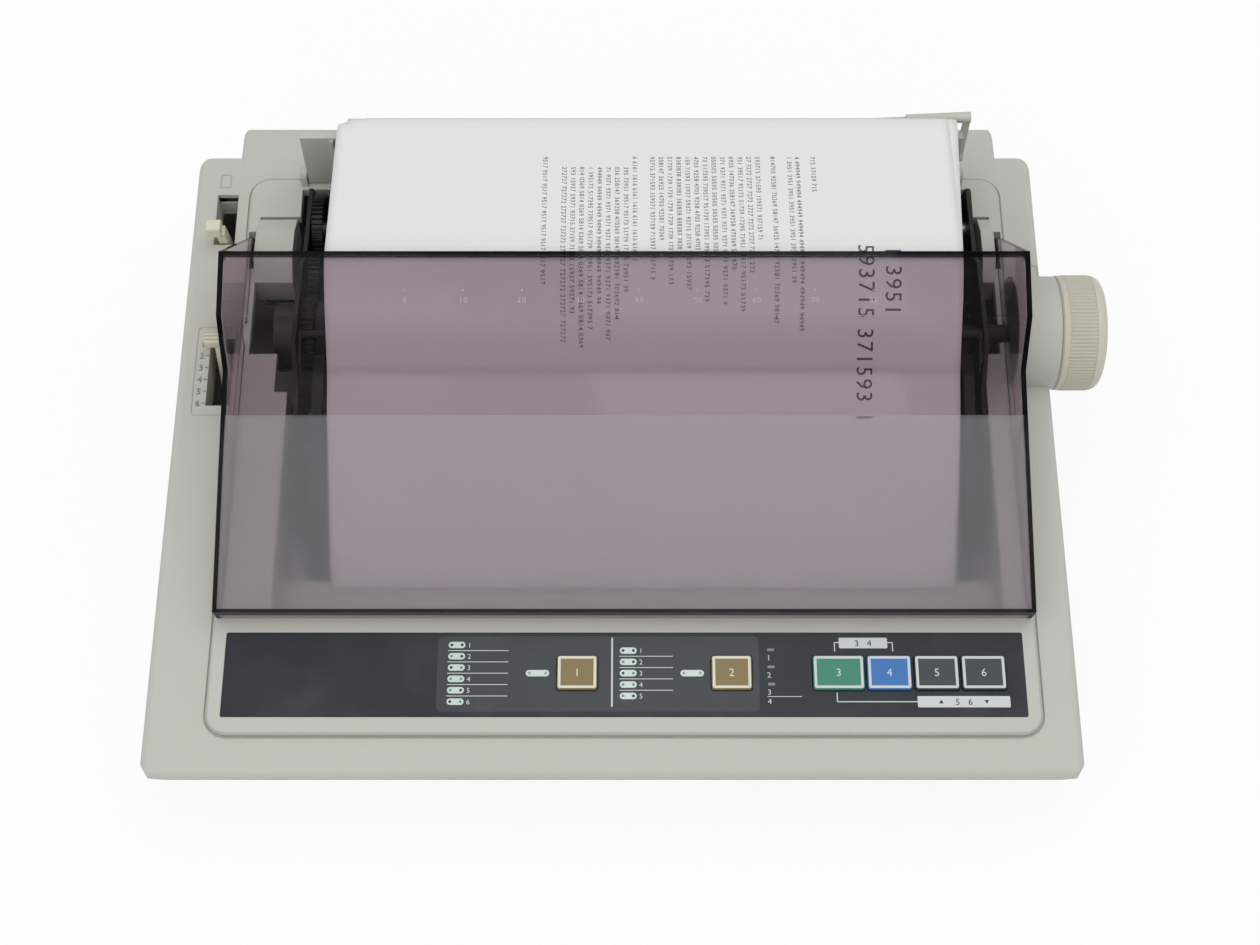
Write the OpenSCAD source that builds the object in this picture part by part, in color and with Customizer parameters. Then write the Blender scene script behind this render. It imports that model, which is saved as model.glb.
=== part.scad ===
// Desktop dot matrix printer with a hinged smoked cover, built from separate parts.
// Body coordinates: X across from the middle of the case, Y back from its front edge, Z up from the table.

/* [Case] */
// Width of the case
case_w = 400; // [396:1:410]
// Depth of the main body
body_d = 300; // [298:1:310]
// How far the rear hump stands behind the main body
hump_reach = 19.5; // [16:0.5:26]
// How much narrower the rear hump is than the case on each side
hump_inset = 18; // [16:0.5:24]
// Sideways place of the rear hump
hump_x = 1.75; // [0:0.25:3]
// Height of the rear hump
hump_h = 84; // [82:0.5:86]
// Height of the rim at its front edge
rim_front_h = 50; // [49:0.5:53]
// Slope of the rim and the deck in degrees
deck_slope = 6.4; // [6.2:0.1:6.6]
// Wall of the case
wall = 2.5; // [2:0.1:3]
// Height where the lower and upper case meet
split_h = 30; // [29.5:0.5:34]
// Corner radius of the case in plan
corner_r = 7; // [6:0.5:12]
// Rounding of the top edges
edge_r = 4; // [2:0.5:5]
// How far the front rim reaches before the front datum
nose = 1.5; // [1:0.5:3]
// Height of the upright band under the front rim
apron_h = 1; // [1:0.5:4]
// How far the front wall leans in at its foot
apron_lean = 15; // [8:1:18]
// Height of the rubber feet
foot_h = 4; // [3:0.5:6]
// Radius of a rubber foot
foot_r = 9; // [7:0.5:11]
// Distance of the feet from the case sides
foot_inset = 28; // [24:1:34]
// Radius of the case screws
screw_r = 1.9; // [1.5:0.1:2.2]

/* [Deck] */
// Sideways place of the deck, the cover and the well
deck_x = 5; // [4:0.5:6]
// Width of the rim beside the raised deck
rim_w = 22; // [21:0.5:22.5]
// Front edge of the deck
deck_front = 15; // [13:0.5:17]
// Rear edge of the deck
deck_rear = 289; // [288:0.5:291]
// Height of the deck above the rim
deck_raise = 2.3; // [1.5:0.1:3]
// Corner radius of the deck
deck_r = 9; // [6:1:12]
// Width of the groove round the deck
groove_w = 1.2; // [0.8:0.1:1.6]
// Depth of the groove round the deck
groove_d = 1; // [0.6:0.1:1.4]
// Width of the deck strip beside the well's side bays
strip_w = 5.5; // [5:0.5:6]
// How far the deck reaches in over the well on the left
lip_left = 19; // [18:0.5:19.5]
// How far the deck reaches in over the well on the right
lip_right = 7.6; // [7:0.1:8]
// Front edge of the well's side bays
bay_front = 194; // [193:0.5:195]
// Rear edge of the well's side bays
bay_rear = 266; // [265.5:0.5:268]
// Front edge of the well
well_front = 69; // [68:0.5:72]
// Rear edge of the well
well_rear = 281; // [278:0.5:282]
// Height of the shelf at the front of the well
shelf_h = 42; // [40:0.5:42.5]
// Depth of the shelf at the front of the well
shelf_d = 24; // [20:0.5:25]

/* [Cover] */
// Distance of the cover from the deck's sides
cover_inset = 1.5; // [1:0.1:1.8]
// Thickness of the smoked cover
cover_t = 2; // [1.5:0.1:2.4]
// Depth from the case front to the front lip of the cover
cover_front = 63.5; // [63:0.5:64]
// Height of the front top edge of the cover
cover_front_h = 71.2; // [70:0.2:73]
// Depth of the lower crease
crease_low_y = 165.3; // [160:0.5:168]
// Height of the lower crease
crease_low_h = 103.5; // [100:0.5:106]
// Depth of the upper crease
crease_high_y = 178; // [174:0.5:182]
// Height of the upper crease
crease_high_h = 127.6; // [125:0.5:130]
// Depth of the rear edge of the cover
cover_rear = 205.5; // [203:0.5:208]
// Height of the rear edge of the cover
cover_rear_h = 137.3; // [136.5:0.1:140]
// Depth of the cover's hinge axis
hinge_y = 248; // [246:0.5:250]
// Radius of the cover's hinge pins
hinge_pin_r = 2.5; // [2:0.1:3]
// Radius of the boss round a hinge pin
hinge_boss_r = 6; // [5:0.5:7]
// Height of the cover's feet over the deck
cover_gap = 0.3; // [0.2:0.05:0.5]

/* [Panel] */
// Distance of the control panel from the deck's sides
panel_inset = 6.25; // [5.5:0.25:7]
// Front edge of the control panel
panel_front = 22.5; // [21:0.5:24]
// Depth of the control panel from front to back
panel_d = 37.7; // [36:0.1:38.5]
// Thickness of the panel overlay
panel_t = 0.8; // [0.5:0.1:1]
// Middle line of the keys
key_y = 41.9; // [41:0.1:43]
// Depth of a key from front to back
key_d = 15.2; // [14:0.1:16]
// How far the keys stand above the panel
key_rise = 1.6; // [1:0.1:2.5]
// Travel of a key
key_travel = 0.8; // [0.5:0.1:0.8]
// Clearance round a key
key_gap = 0.35; // [0.3:0.05:0.45]
// Width of a tan key
tan_key_w = 17.3; // [16:0.1:18]
// Width of the green key
green_key_w = 21.9; // [20:0.1:22]
// Width of a blue or grey key
small_key_w = 18.9; // [17:0.1:19]
// Thickness of a circuit board
board_t = 1.6; // [1.2:0.1:2]
// Depth of the panel board under the rim plane
board_drop = 10.4; // [10:0.1:12]
// Length of an indicator pill
pill_w = 7.3; // [6:0.1:8]
// Width of an indicator pill
pill_d = 2.9; // [2:0.1:3.2]

/* [Feed] */
// Depth of the platen axis
platen_y = 204; // [203:0.5:205]
// Height of the platen axis
platen_z = 76; // [75.5:0.1:76.5]
// Radius of the platen
platen_r = 15; // [14.5:0.1:15.2]
// Distance of the platen from the right frame
platen_end = 9.2; // [9:0.2:10]
// Radius of the platen shaft
platen_shaft_r = 4; // [3:0.5:4.5]
// Radius of the platen knob
knob_r = 26.5; // [25:0.5:28]
// Width of the platen knob
knob_w = 20.8; // [18:0.1:24]
// Number of ribs on the platen knob
knob_ribs = 96; // [60:2:110]
// Depth of the ribs on the platen knob
knob_rib_d = 0.6; // [0.3:0.1:0.8]
// Radius of the bulge behind the platen knob
bulge_r = 26; // [24:0.5:26]
// How far the bulge stands out of the case side
bulge_out = 1.5; // [1:0.1:4]
// Gap between the bulge and the knob
knob_gap = 0.3; // [0.3:0.05:1]
// Tooth module of the feed gears
gear_module = 0.8; // [0.78:0.01:0.82]
// Teeth on the platen gear
platen_teeth = 40; // [40:1:41]
// Teeth on the idler gear
idler_teeth = 32; // [32:1:33]
// Teeth on the tractor gear
tractor_teeth = 40; // [40:1:41]
// Teeth on the feed motor's pinion
pinion_teeth = 12; // [12:1:13]
// Width of the feed gears
gear_w = 5; // [4:0.5:5.5]
// Radius of the idler gear's pin
idler_pin_r = 2; // [1.5:0.1:2.5]
// Radius of the feed motor
feed_motor_r = 15.5; // [13:0.5:15.5]
// Length of the feed motor
feed_motor_w = 14; // [10:1:15]
// Radius of the pressure rollers
pressure_r = 5; // [4.8:0.1:5.2]
// Length of a pressure roller
pressure_w = 26; // [20:1:30]
// Radius of the paper pan
pan_r = 17; // [16.5:0.1:17.5]
// Thickness of the paper pan
pan_t = 1; // [0.8:0.1:1.2]
// Radius of the bail bar
bail_bar_r = 2; // [1.5:0.1:2.2]
// Radius of the bail rollers
bail_roller_r = 5; // [4.5:0.1:5.2]
// Length of a bail roller
bail_roller_w = 14; // [10:1:18]
// Depth of the bail's pivot
bail_pivot_y = 180; // [179:0.5:181]
// Height of the bail's pivot
bail_pivot_z = 62; // [61:0.5:63]

/* [Frame] */
// Room between the left bay's side and the left frame
room_left = 23.5; // [23:0.1:24]
// Room between the right bay's side and the right frame
room_right = 9.5; // [9.2:0.1:9.8]
// Thickness of the side frames
frame_t = 2; // [1.5:0.1:2.2]
// Height of the chassis plate's underside
chassis_z = 28; // [27.5:0.5:28.5]
// Thickness of the chassis plate
chassis_t = 1.5; // [1.2:0.1:2]
// Front edge of the chassis plate
chassis_front = 96; // [94:1:98]
// Rear edge of the chassis plate
chassis_rear = 285; // [283:1:288]

/* [Carriage] */
// Depth of the carriage rod
rod_y = 158; // [157:0.5:159]
// Height of the carriage rod
rod_z = 47; // [46.5:0.5:47.5]
// Radius of the carriage rod
rod_r = 4; // [3:0.5:4.5]
// Depth of the carriage rail
rail_y = 177; // [176.5:0.5:178]
// Radius of the carriage rail
rail_r = 3; // [2.5:0.1:3.5]
// Width of the carriage
carriage_w = 44; // [38:1:48]
// Width of the print head
head_w = 30; // [24:1:34]
// Radius of the belt pulleys
pulley_r = 8; // [7:0.5:9]
// Depth of the belt pulleys' axes
belt_y = 138; // [137:0.5:139]
// Width of the drive belt
belt_w = 6; // [5:0.5:6.5]
// Thickness of the drive belt
belt_t = 1.2; // [0.8:0.1:1.4]
// Radius of the carriage motor
carriage_motor_r = 20; // [16:1:21]
// Running clearance of shafts in their holes
run_gap = 0.05; // [0.03:0.01:0.08]
// Gap between parts that move past each other
move_gap = 0.3; // [0.3:0.05:0.4]

/* [Ribbon] */
// Depth of the ribbon cartridge from front to back
cartridge_d = 28; // [24:1:29]
// Height of the ribbon cartridge
cartridge_h = 14; // [12:0.5:15]
// Width of the ribbon
ribbon_w = 12; // [10:0.5:13]
// Thickness of the ribbon
ribbon_t = 0.3; // [0.2:0.1:0.4]
// Radius of the ribbon's winding knob
ribbon_knob_r = 7; // [5:0.5:9]

/* [Tractors] */
// Width of a tractor
tractor_w = 15; // [12:0.5:16]
// Depth of a tractor from front to back
tractor_d = 46; // [42:1:46]
// Radius of the tractor shaft
tractor_shaft_r = 3.5; // [3:0.1:4]
// Radius of the tractor rod
tractor_rod_r = 3; // [2.5:0.1:3.5]
// Distance from the tractor shaft forward to the rod
tractor_rod_gap = 15; // [14.5:0.5:15.5]
// Distance from the tractor shaft down to the rod
tractor_rod_drop = 15; // [14.5:0.5:16]
// Distance from the tractor shaft forward to the tractor's nose
tractor_nose = 30; // [28:1:31]
// Distance of the left tractor from the platen's left end
tractor_in_left = 17.2; // [16.8:0.2:24]
// Distance of the right tractor from the platen's right end
tractor_in_right = 12.8; // [12:0.2:20]
// Thickness of a tractor door
door_t = 1.5; // [1:0.1:2]

/* [Levers] */
// Distance of the head gap lever from the case side
gap_lever_in = 19; // [18.5:0.1:20]
// Distance of the release lever from the case side
release_lever_in = 15.8; // [15:0.1:16.5]
// Width of a lever
lever_w = 4; // [3:0.5:4.5]
// Width of a lever's slot
slot_w = 9.8; // [9:0.1:10.5]

/* [Rear guide] */
// Distance of the sheet guide from the well's left side
guide_in_left = 3; // [1:0.5:5]
// Distance of the sheet guide from the well's right side
guide_in_right = 7.9; // [6:0.5:10]
// Depth of the sheet guide's front face
guide_y = 284; // [283.5:0.5:286]
// Top of the sheet guide
guide_top = 118; // [112:0.5:119]
// Thickness of the sheet guide
guide_t = 2.5; // [2:0.1:3]
// Radius of the wire paper rest
wire_r = 1.5; // [1:0.1:1.6]
// Radius of the sleeve on the wire
sleeve_r = 2.5; // [2:0.1:2.8]
// Height of the wire paper rest at its right end
wire_z = 126; // [125.5:0.1:126.2]
// How much lower the wire lies at its left end
wire_drop = 15; // [10:0.5:16]
// Distance of the loaded sheet from the platen's left end
sheet_in_left = 9.2; // [8:0.1:12]
// Distance of the loaded sheet from the platen's right end
sheet_in_right = 3.4; // [2:0.1:6]
// Thickness of the loaded paper
sheet_t = 0.4; // [0.3:0.1:0.5]

/* [Inside] */
// Width of the main board
main_board_w = 200; // [180:1:210]
// Depth of the main board from front to back
main_board_d = 190; // [170:1:200]
// Width of the transformer
transformer_w = 52; // [44:1:56]
// Depth of the transformer from front to back
transformer_d = 46; // [40:1:48]
// Height of the transformer
transformer_h = 32; // [28:1:34]
// Width of the heat sink
heat_sink_w = 60; // [40:1:70]
// Number of fins on the heat sink
heat_sink_fins = 8; // [5:1:10]
// Width of the mains inlet
inlet_w = 27; // [26:0.5:28]
// Height of the mains inlet
inlet_h = 19; // [18:0.5:20]
// Width of the parallel connector
connector_w = 66; // [60:1:70]
// Height of the parallel connector
connector_h = 14; // [12:0.5:15]

/* [Hidden] */
$fn = 64;
fit = 0.01;
case_d = body_d + hump_reach;
knob_x = case_w / 2 + bulge_out + knob_gap;
reach = knob_x + knob_w - case_w / 2;
slope_t = tan(deck_slope);
case_color = [0.73, 0.735, 0.705];
dark_color = [0.16, 0.16, 0.17];
steel_color = [0.7, 0.7, 0.72];
white_color = [0.92, 0.92, 0.9];

deck_w = case_w - rim_w * 2;
well_l = deck_x - deck_w / 2 + strip_w;
well_r = deck_x + deck_w / 2 - strip_w;
core_l = well_l + lip_left;
core_r = well_r - lip_right;
cover_l = deck_x - deck_w / 2 + cover_inset;
cover_r = deck_x + deck_w / 2 - cover_inset;
frame_l = well_l + room_left + frame_t;
frame_r = well_r - room_right - frame_t;
mech_x = (frame_l + frame_r) / 2;
gear_x = frame_l + move_gap + 0.5;
platen_left = gear_x + gear_w + 1;
platen_right = frame_r - platen_end;
tractor_left_x = platen_left + tractor_in_left;
tractor_right_x = platen_right - tractor_in_right;
gap_lever_x = gap_lever_in - case_w / 2;
release_lever_x = release_lever_in - case_w / 2;
guide_left = core_l + guide_in_left;
guide_right = core_r - guide_in_right;
hinge_z = deck_z(hinge_y);
chassis_top = chassis_z + chassis_t;
floor_top = foot_h + wall;

function rim_z(y) = rim_front_h + y * slope_t;
function deck_z(y) = rim_z(y) + deck_raise;

// Points of an arc, from angle a0 to angle a1
function arc(x, y, r, a0, a1, steps) =
  [for (i = [0:steps]) [x + r * cos(a0 + (a1 - a0) * i / steps), y + r * sin(a0 + (a1 - a0) * i / steps)]];

// A rectangle with round corners, given by its sides
function round_box(x0, y0, x1, y1, r) = concat(
  arc(x1 - r, y1 - r, r, 0, 90, 8), arc(x0 + r, y1 - r, r, 90, 180, 8),
  arc(x0 + r, y0 + r, r, 180, 270, 8), arc(x1 - r, y0 + r, r, 270, 360, 8));

// Unit direction from one point to another, and its left side
function unit(a, b) = (b - a) / norm(b - a);
function left_of(v) = [-v[1], v[0]];
// A corner moved sideways by a distance so that both of its lines move by that distance
function mitre(a, b, c, t) =
  let (n1 = left_of(unit(a, b)), n2 = left_of(unit(b, c))) b + (n1 + n2) * t / (1 + n1 * n2);
// A chain of lines moved to its left side by a distance
function moved_path(p, t) = let (n = len(p) - 1) [for (i = [0:n])
  i == 0 ? p[0] + left_of(unit(p[0], p[1])) * t :
  i == n ? p[n] + left_of(unit(p[n - 1], p[n])) * t : mitre(p[i - 1], p[i], p[i + 1], t)];
function reversed(p) = [for (i = [len(p) - 1:-1:0]) p[i]];

// The part's frame: origin under the middle of its whole box
module in_frame() {
  translate([-reach / 2, (nose - case_d) / 2, 0]) children();
}

// A plate that stands on edge across X, from a side outline in Y and Z
module across(x0, x1) {
  translate([x0, 0, 0]) rotate([90, 0, 90]) linear_extrude(x1 - x0) children();
}

module bar_x(x0, x1, y, z, r) {
  translate([x0, y, z]) rotate([0, 90, 0]) cylinder(h = x1 - x0, r = r);
}

module block(x0, x1, y0, y1, z0, z1) {
  translate([x0, y0, z0]) cube([x1 - x0, y1 - y0, z1 - z0]);
}

// The sloping plane of the rim, with Z measured square to it
module on_slope() {
  translate([0, 0, rim_front_h]) rotate([deck_slope, 0, 0]) children();
}

// The outside of the main body, shrunk by an inset
module body_form(inset, round_top) {
  top_r = max(round_top - inset, 0.5);
  half = case_w / 2 - inset;
  front = inset - nose;
  intersection() {
    linear_extrude(rim_z(case_d)) polygon(round_box(-half, front, half, body_d - inset, corner_r - inset));
    across(-case_w / 2, case_w / 2) polygon(concat(
      [[front + apron_lean, foot_h + inset], [body_d - inset, foot_h + inset]],
      [[body_d - inset, rim_z(body_d) - inset]],
      arc(front + top_r, rim_z(front + top_r) - inset - top_r, top_r, 90 + deck_slope, 180, 8),
      [[front, rim_z(front) - top_r - inset - apron_h]]));
    translate([0, 0, rim_front_h]) rotate([deck_slope, 0, 0])
      rotate([90, 0, 180]) linear_extrude(case_d * 2.2, center = true)
      polygon(concat([[-half, -case_d], [half, -case_d]],
        arc(half - top_r, -inset - top_r, top_r, 0, 90, 8),
        arc(top_r - half, -inset - top_r, top_r, 90, 180, 8)));
  }
}

// The outside of the rear hump, shrunk by an inset
module hump_form(inset, front) {
  left = hump_x - case_w / 2 + hump_inset + inset;
  right = hump_x + case_w / 2 - hump_inset - inset;
  top = hump_h - inset;
  top_r = max(edge_r - inset, 0.5);
  back = case_d - inset;
  intersection() {
    linear_extrude(hump_h) polygon(round_box(left, front - corner_r * 2, right, back, corner_r - inset));
    across(-case_w / 2, case_w / 2) polygon(concat(
      [[body_d - inset, top], [front, rim_z(front) - inset], [front, foot_h + inset], [back, foot_h + inset]],
      arc(back - top_r, top - top_r, top_r, 0, 90, 8)));
    rotate([90, 0, 0]) linear_extrude(case_d * 2.2, center = true) polygon(concat(
      [[left, foot_h], [right, foot_h]],
      arc(right - top_r, top - top_r, top_r, 0, 90, 8), arc(left + top_r, top - top_r, top_r, 90, 180, 8)));
  }
}

// The case walls between two heights
module case_shell(z0, z1) {
  intersection() {
    difference() {
      union() {
        body_form(0, edge_r);
        hump_form(0, deck_rear);
      }
      body_form(wall, edge_r);
      hump_form(wall, deck_rear + wall);
    }
    block(-case_w, case_w, -nose - 1, case_d + 1, z0, z1);
  }
}

screw_places = [for (x = [-1, 1], y = [40, body_d - 10]) [x * (case_w / 2 - 16), y]];
foot_places = [for (x = [-1, 1], y = [48, body_d - 32]) [x * (case_w / 2 - foot_inset), y]];
post_places = [for (x = [frame_l + 9, frame_r - 9], y = [chassis_front + 8, chassis_rear - 8]) [x, y]];
transformer_x = frame_l - 8;
transformer_y = 36;
board_left = transformer_x + transformer_w + 10;
board_front = 32;
board_post_in = 6;
board_z = floor_top + 6;
board_posts = [for (x = [board_left + board_post_in, board_left + main_board_w - board_post_in],
  y = [board_front + board_post_in, board_front + main_board_d - board_post_in]) [x, y]];
boss_r = 5;
screw_len = 16;
inlet_x = 70 - case_w / 2;
inlet_z = floor_top + 2;
connector_x = 75;
connector_z = floor_top + 4;
vent_left = -60;
vent_count = 10;
vent_pitch = 7;
vent_w = 3;
switch_y = 70;
switch_l = 26;
switch_h = 14;
switch_z = floor_top + 5;

module lower_case() color(case_color) in_frame() {
  difference() {
    union() {
      case_shell(0, split_h);
      for (p = screw_places) translate([p[0], p[1], foot_h]) cylinder(h = split_h - foot_h, r = boss_r);
      for (p = post_places) translate([p[0], p[1], foot_h]) cylinder(h = chassis_z - foot_h, r = boss_r);
      for (p = board_posts) translate([p[0], p[1], foot_h]) cylinder(h = board_z - foot_h, r = boss_r - 2);
    }
    for (p = screw_places) translate([p[0], p[1], 0]) {
      cylinder(h = split_h + 1, r = screw_r);
      cylinder(h = foot_h + screw_r * 1.5, r = screw_r * 2 + fit);
    }
    block(inlet_x - inlet_w / 2, inlet_x + inlet_w / 2, case_d - wall - 1, case_d + 1, inlet_z, inlet_z + inlet_h);
    block(connector_x - connector_w / 2, connector_x + connector_w / 2, case_d - wall - 1, case_d + 1,
      connector_z, connector_z + connector_h);
    block(case_w / 2 - wall - 1, case_w / 2 + 1, switch_y - switch_l / 2, switch_y + switch_l / 2,
      switch_z, switch_z + switch_h);
    for (i = [0:vent_count - 1]) block(vent_left + i * vent_pitch, vent_left + vent_w + i * vent_pitch,
      case_d - wall - 1, case_d + 1, floor_top + 3, split_h - 4);
  }
}

slot_front = 169;
slot_rear = 203;
recess_front = 252.6;
recess_rear = 279.7;
ear_left_t = 18;
ear_right_t = 6;
ear_front = hinge_y - 17;
ear_rear = hinge_y + 17;
ear_drop = 12;
guide_ear_t = 3;
tab_front = 230.5;
tab_rear = 243;
skirt_t = 1.5;
skirt_rear = 174.5;
step_front = 174.5;
step_in = 6;
ear_gap = 0.4;
pin_in = 3;
pocket_gap = 0.8;
slot_wall = 1.2;
slot_wall_h = 15;
pocket_r = 10;

module skirt_outline(y0, y1) {
  polygon([[y0, split_h + 1], [y1, split_h + 1], [y1, rim_z(y1) - 0.5], [y0, rim_z(y0) - 0.5]]);
}

// Walls round a lever's slot, under the rim
module slot_walls(x, front, rear) {
  on_slope() translate([0, 0, -slot_wall_h]) linear_extrude(slot_wall_h - wall / 2) difference() {
    translate([x - slot_w / 2 - slot_wall, front - slot_wall])
      square([slot_w + slot_wall * 2, rear - front + slot_wall * 2]);
    translate([x - slot_w / 2, front]) square([slot_w, rear - front]);
  }
}

// An ear that holds a hinge pin of the cover
module hinge_ear(x0, x1) {
  across(x0, x1) polygon([[ear_front, rim_z(ear_front) - ear_drop], [ear_rear, rim_z(hinge_y) - ear_drop],
    [ear_rear, deck_z(ear_rear) - 0.5], [hinge_y + hinge_boss_r + 1, hinge_z + hinge_boss_r],
    [hinge_y - hinge_boss_r - 1, hinge_z + hinge_boss_r], [ear_front, deck_z(ear_front) - 0.5]]);
}

// A ring or a plate lying in the sloping plane, between two heights over the rim
module slope_plate(x0, y0, x1, y1, r, z0, z1) {
  on_slope() translate([0, 0, z0]) linear_extrude(z1 - z0) polygon(round_box(x0, y0, x1, y1, r));
}

module deck_block(grow, z0, z1) {
  slope_plate(deck_x - deck_w / 2 - grow, deck_front - grow, deck_x + deck_w / 2 + grow, deck_rear + grow,
    deck_r + grow, z0, z1);
}

module upper_case() color(case_color) in_frame() {
  difference() {
    union() {
      difference() {
        union() {
          case_shell(split_h, hump_h + 1);
          bar_x(cover_r + 1.8, case_w / 2 + bulge_out, platen_y, platen_z, bulge_r);
        }
        difference() {
          deck_block(groove_w, -groove_d, wall);
          deck_block(0, -groove_d - 1, wall + 1);
        }
        bar_x(cover_r + 1.8 + wall, case_w / 2 + bulge_out - wall, platen_y, platen_z, bulge_r - wall);
      }
      deck_block(0, -wall, deck_raise - 0.6);
      deck_block(-0.6, -wall, deck_raise);
      // Skirts beside the well
      across(core_l - skirt_t, core_l) skirt_outline(well_front, skirt_rear);
      across(core_r, core_r + skirt_t) skirt_outline(well_front, skirt_rear);
      // Shelf at the front of the well, with its front wall
      block(core_l - 1, core_r + 1, well_front - wall, well_front + shelf_d, shelf_h - wall, shelf_h);
      block(core_l - 1, core_r + 1, well_front - wall, well_front, shelf_h - wall, rim_z(well_front) - fit);
      slot_walls(gap_lever_x, slot_front, slot_rear);
      slot_walls(release_lever_x, recess_front, recess_rear);
      for (p = screw_places) translate([p[0], p[1], split_h])
        cylinder(h = rim_z(p[1]) - split_h - wall / 2, r = boss_r);
      panel_board_posts();
    }
    // The well, open from the front shelf to the rear guide, with its side bays
    block(core_l, core_r, well_front, well_rear, shelf_h, hump_h * 2);
    block(well_l, well_r, bay_front, bay_rear, shelf_h, hump_h * 2);
    block(core_l - step_in, core_l + 1, step_front, bay_front + 1, shelf_h, hump_h * 2);
    // Hinge pockets beside the well
    for (x = [cover_l - pocket_gap, well_r - fit])
      bar_x(x, x + (well_l - cover_l) + pocket_gap + fit * 2, hinge_y, hinge_z, pocket_r);
    // Panel recess and key holes
    slope_plate(panel_x - panel_w / 2 - 0.1, panel_front - 0.1, panel_x + panel_w / 2 + 0.1,
      panel_front + panel_d + 0.1, 1, deck_raise - panel_t, deck_raise + 1);
    for (k = keys) key_hole(k, -wall - 3, deck_raise + 1);
    // Head gap lever slot and release lever recess
    block(gap_lever_x - slot_w / 2, gap_lever_x + slot_w / 2, slot_front, slot_rear, split_h, hump_h);
    block(release_lever_x - slot_w / 2, release_lever_x + slot_w / 2, recess_front, recess_rear, split_h, hump_h + 1);
    // Shaft hole of the platen knob
    bar_x(core_r - 1, knob_x, platen_y, platen_z, platen_shaft_r + 0.6);
    for (p = screw_places) translate([p[0], p[1], split_h - 1]) cylinder(h = screw_len - 4, r = screw_r);
  }
  difference() {
    union() {
      hinge_ear(well_l - ear_gap, well_l - ear_gap + ear_left_t);
      hinge_ear(well_r + ear_gap - ear_right_t, well_r + ear_gap);
    }
    bar_x(well_l - 1, well_l + pin_in + move_gap, hinge_y, hinge_z, hinge_pin_r + run_gap);
    bar_x(well_r - pin_in - move_gap, well_r + 1, hinge_y, hinge_z, hinge_pin_r + run_gap);
  }
  // Ears that hold the sheet guide
  difference() {
    for (x = [guide_left - 0.5 - guide_ear_t, guide_right + 0.5]) across(x, x + guide_ear_t) polygon(concat(
      [[guide_pivot_y - 5, deck_z(guide_pivot_y) - 2], [guide_pivot_y + 5, deck_z(guide_pivot_y) - 1]],
      arc(guide_pivot_y, guide_pivot_z, 4, 0, 180, 8)));
    bar_x(guide_left - 5, guide_right + 5, guide_pivot_y, guide_pivot_z, guide_pin_r + run_gap);
  }
  difference() {
    slope_plate(case_w / 2 - 6, tab_front, case_w / 2 - 1, tab_rear, 1.2, -wall, 0.5);
    slope_plate(case_w / 2 - 5.5, tab_front + 0.5, case_w / 2 - 1.5, tab_rear - 0.5, 1, 0.3, 1);
  }
}

// Middle of each key across the panel, and its width
panel_x = deck_x;
panel_w = deck_w - panel_inset * 2;
panel_right = panel_x + panel_w / 2;
keys = [[panel_right - 191.9, tan_key_w], [panel_right - 125.7, tan_key_w], [panel_right - 79.9, green_key_w],
  [panel_right - 58.2, small_key_w], [panel_right - 37.9, small_key_w], [panel_right - 17.8, small_key_w]];
switch_body = 3.5;
board_face = board_t - board_drop;
key_stem_r = 2;
post_r = 3;
panel_posts = [for (x = [panel_x - panel_w / 2 + 16.7, panel_right - 211.7, panel_right - 99.7, panel_right - 9.7],
  y = [-12, 12.5]) [x, key_y + y]];

module key_hole(k, z0, z1) {
  slope_plate(k[0] - k[1] / 2 - key_gap, key_y - key_d / 2 - key_gap, k[0] + k[1] / 2 + key_gap,
    key_y + key_d / 2 + key_gap, 1.2 + key_gap, z0, z1);
}

module key(k, shade) color(shade) in_frame() {
  half = k[1] / 2;
  top = deck_raise + key_rise;
  slope_plate(k[0] - half, key_y - key_d / 2, k[0] + half, key_y + key_d / 2, 1.2, -wall, top - 0.5);
  slope_plate(k[0] - half + 0.4, key_y - key_d / 2 + 0.4, k[0] + half - 0.4, key_y + key_d / 2 - 0.4, 0.9,
    -wall, top);
  on_slope() translate([k[0], key_y, board_face + switch_body + key_travel + 0.1])
    cylinder(h = -wall - board_face - switch_body - key_travel, r = key_stem_r);
}

module key_font() key(keys[0], [0.6, 0.51, 0.31]);
module key_pitch() key(keys[1], [0.6, 0.51, 0.31]);
module key_on_line() key(keys[2], [0.28, 0.6, 0.47]);
module key_line_feed() key(keys[3], [0.29, 0.48, 0.77]);
module key_tear_off() key(keys[4], [0.33, 0.36, 0.35]);
module key_load_park() key(keys[5], [0.33, 0.36, 0.35]);

row_pitch = 5.08;
row_count = 6;
row_top = key_y + 12.7;
pills = concat(
  [for (i = [0:row_count - 1]) [panel_right - 243.8, row_top - i * row_pitch, pill_w]],
  [for (i = [0:row_count - 2]) [panel_right - 170, row_top - (i + 0.5) * row_pitch, pill_w]],
  [[panel_right - 208.9, key_y, pill_w * 1.38], [panel_right - 142.6, key_y, pill_w * 1.38]]);
lamps = [for (i = [0:2]) [panel_right - 108.7, key_y + 10.5 - i * 7.7]];
lamp_w = 3.1;
lamp_d = 1.3;

module pill_form(p, z0, z1) {
  r = pill_d / 2 - fit;
  slope_plate(p[0] - p[2] / 2, p[1] - pill_d / 2, p[0] + p[2] / 2, p[1] + pill_d / 2, r, z0, z1);
}

module lamp_form(p, z0, z1) {
  slope_plate(p[0] - lamp_w / 2, p[1] - lamp_d / 2, p[0] + lamp_w / 2, p[1] + lamp_d / 2, 0.3, z0, z1);
}

module control_panel() color([0.2, 0.23, 0.25]) in_frame() {
  difference() {
    slope_plate(panel_x - panel_w / 2, panel_front, panel_x + panel_w / 2, panel_front + panel_d, 0.9,
      deck_raise - panel_t, deck_raise);
    for (k = keys) key_hole(k, 0, deck_raise + 1);
    for (p = pills) pill_form(p, 0, deck_raise + 1);
    for (p = lamps) lamp_form(p, 0, deck_raise + 1);
  }
}

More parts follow.
